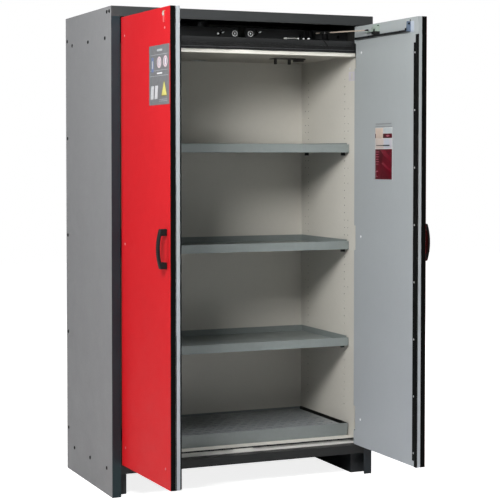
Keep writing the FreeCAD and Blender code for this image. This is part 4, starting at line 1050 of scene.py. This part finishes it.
def corner_cover(side):
    part = Piece(side + "_corner_cover", side + "_door", "inner_grey")
    part.prism(rounded(464, 492, 1842, 1886, 2), INNER_FACE, 23.0, "sheet_cover_cool", 0.2)
    part.prism(rounded(470, 522, 1834.2, 1836.6, 1.0), INNER_FACE, 23.2, "sheet_inner_" + side,
               0.25)
    part.done()


left_plate_marks()
right_card_print()
right_card_holder()
bar_screws()
release_levers()
catch_lever()
housing_caps()
side_caps()
upper_seal_strip()
contact_cable()
left_seal_lip()
wall_film()
for side in SIDES:
    rail_fixings(side)
    shoe_cover(side)
    corner_cover(side)


# ------------------------------------------------------------------- stage
def studio_paper():
    """Pale paper that glows for the camera, up to full white away from the cabinet."""
    m = Shade("studio_paper")
    mottle = m.spread(0.985, 1.0, scale=2.0, detail=3.0, rough=0.5)
    m.set("Base Color", m.shaded((232, 232, 232), mottle))
    m.set("Roughness", 0.9)
    m.set("Specular IOR Level", 0.05)
    m.set("Emission Color", (1.0, 1.0, 1.0, 1.0))
    seen = m.node("ShaderNodeLightPath").outputs["Is Camera Ray"]
    squares = [m.calc("MULTIPLY", m.axis(k), m.axis(k)) for k in range(2)]
    distance = m.calc("SQRT", m.calc("ADD", *squares))
    glow = m.remap(distance, (0.9, 2.6), (0.84, 1.0))
    m.set("Emission Strength", m.calc("MULTIPLY", seen, glow))


def stage_floor():
    """Gridded floor just below z = 0."""
    bm = bmesh.new()
    xs = [-9.0, -6.0, -4.0, -2.5, -1.5, -0.75, 0.0, 0.75, 1.5, 2.5, 4.0, 6.0, 9.0]
    ys = [-7.0, -5.0, -3.5, -2.5, -1.5, -0.75, 0.0, 0.75, 1.5, 2.5, 4.0, 6.0, 9.0, 12.0]
    rows = [[bm.verts.new((x, y, -0.0004)) for x in xs] for y in ys]
    for near, far in zip(rows, rows[1:]):
        for k in range(len(xs) - 1):
            bm.faces.new([near[k], near[k + 1], far[k + 1], far[k]])
    mesh = bpy.data.meshes.new("studio_floor")
    bm.to_mesh(mesh)
    bm.free()
    ob = bpy.data.objects.new("studio_floor", mesh)
    SCENE.collection.objects.link(ob)
    studio_paper()
    mesh.materials.append(MATERIAL["studio_paper"])


def softbox(name, place, aim, size, power, colour=(1, 1, 1)):
    """Square area light at place, turned towards aim."""
    light = bpy.data.lights.new(name, "AREA")
    light.shape = "RECTANGLE"
    light.size = size
    light.size_y = size
    light.energy = power
    light.color = colour
    ob = bpy.data.objects.new(name, light)
    SCENE.collection.objects.link(ob)
    ob.location = place
    ob.rotation_euler = (Vector(aim) - Vector(place)).to_track_quat("-Z", "Y").to_euler()


def studio_world():
    """White to the camera, a faint cool light to everything else."""
    world = bpy.data.worlds.new("studio_world")
    SCENE.world = world
    world.use_nodes = True
    nodes, links = world.node_tree.nodes, world.node_tree.links
    nodes.clear()
    output = nodes.new("ShaderNodeOutputWorld")
    path = nodes.new("ShaderNodeLightPath")
    mix = nodes.new("ShaderNodeMixShader")
    links.new(path.outputs["Is Camera Ray"], mix.inputs[0])
    # mix input, colour, strength
    for index, colour, strength in ((1, (0.97, 0.985, 1.0, 1.0), 0.08),
                                    (2, (1.0, 1.0, 1.0, 1.0), 1.0)):
        background = nodes.new("ShaderNodeBackground")
        background.inputs["Color"].default_value = colour
        background.inputs["Strength"].default_value = strength
        links.new(background.outputs[0], mix.inputs[index])
    links.new(mix.outputs[0], output.inputs["Surface"])


def camera():
    """Long lens in front and to the left, looking slightly down."""
    data = bpy.data.cameras.new("view")
    data.sensor_width = 36.0
    data.lens = 105.02298
    data.shift_x = 0.0389586
    data.shift_y = -0.0848242
    data.clip_start = 0.05
    data.clip_end = 60.0
    ob = bpy.data.objects.new("view", data)
    SCENE.collection.objects.link(ob)
    ob.location = (-2.3960237, -5.7798804, 1.3572534)
    ob.rotation_mode = "XYZ"
    ob.rotation_euler = (math.pi / 2 - 0.0354, 0.0, -0.4016)
    SCENE.camera = ob


stage_floor()
softbox("key_softbox", place=(-1.76, -2.4, 2.5), aim=(0.1, -0.1, 1.1), size=0.8, power=98.0,
        colour=(1.0, 0.992, 0.975))
softbox("left_wash", place=(-4.2, 0.9, 1.9), aim=(-0.6, -0.1, 1.05), size=2.2, power=66.0)
softbox("front_fill", place=(-1.0, -6.5, 2.4), aim=(0.1, 0.0, 0.9), size=3.0, power=10.0)
softbox("overhead_front", place=(-0.1, -2.1, 4.7), aim=(0.0, -0.3, 1.0), size=1.6, power=70.0)
softbox("back_fill", place=(2.0, 4.8, 3.0), aim=(0.1, 0.2, 0.9), size=2.6, power=105.0)
softbox("right_wash", place=(4.3, -0.4, 1.9), aim=(0.6, -0.2, 1.0), size=2.2, power=62.0)
studio_world()
camera()
SCENE.view_settings.view_transform = "Standard"
SCENE.view_settings.look = "None"
SCENE.view_settings.exposure = 0.0
SCENE.view_settings.gamma = 1.0
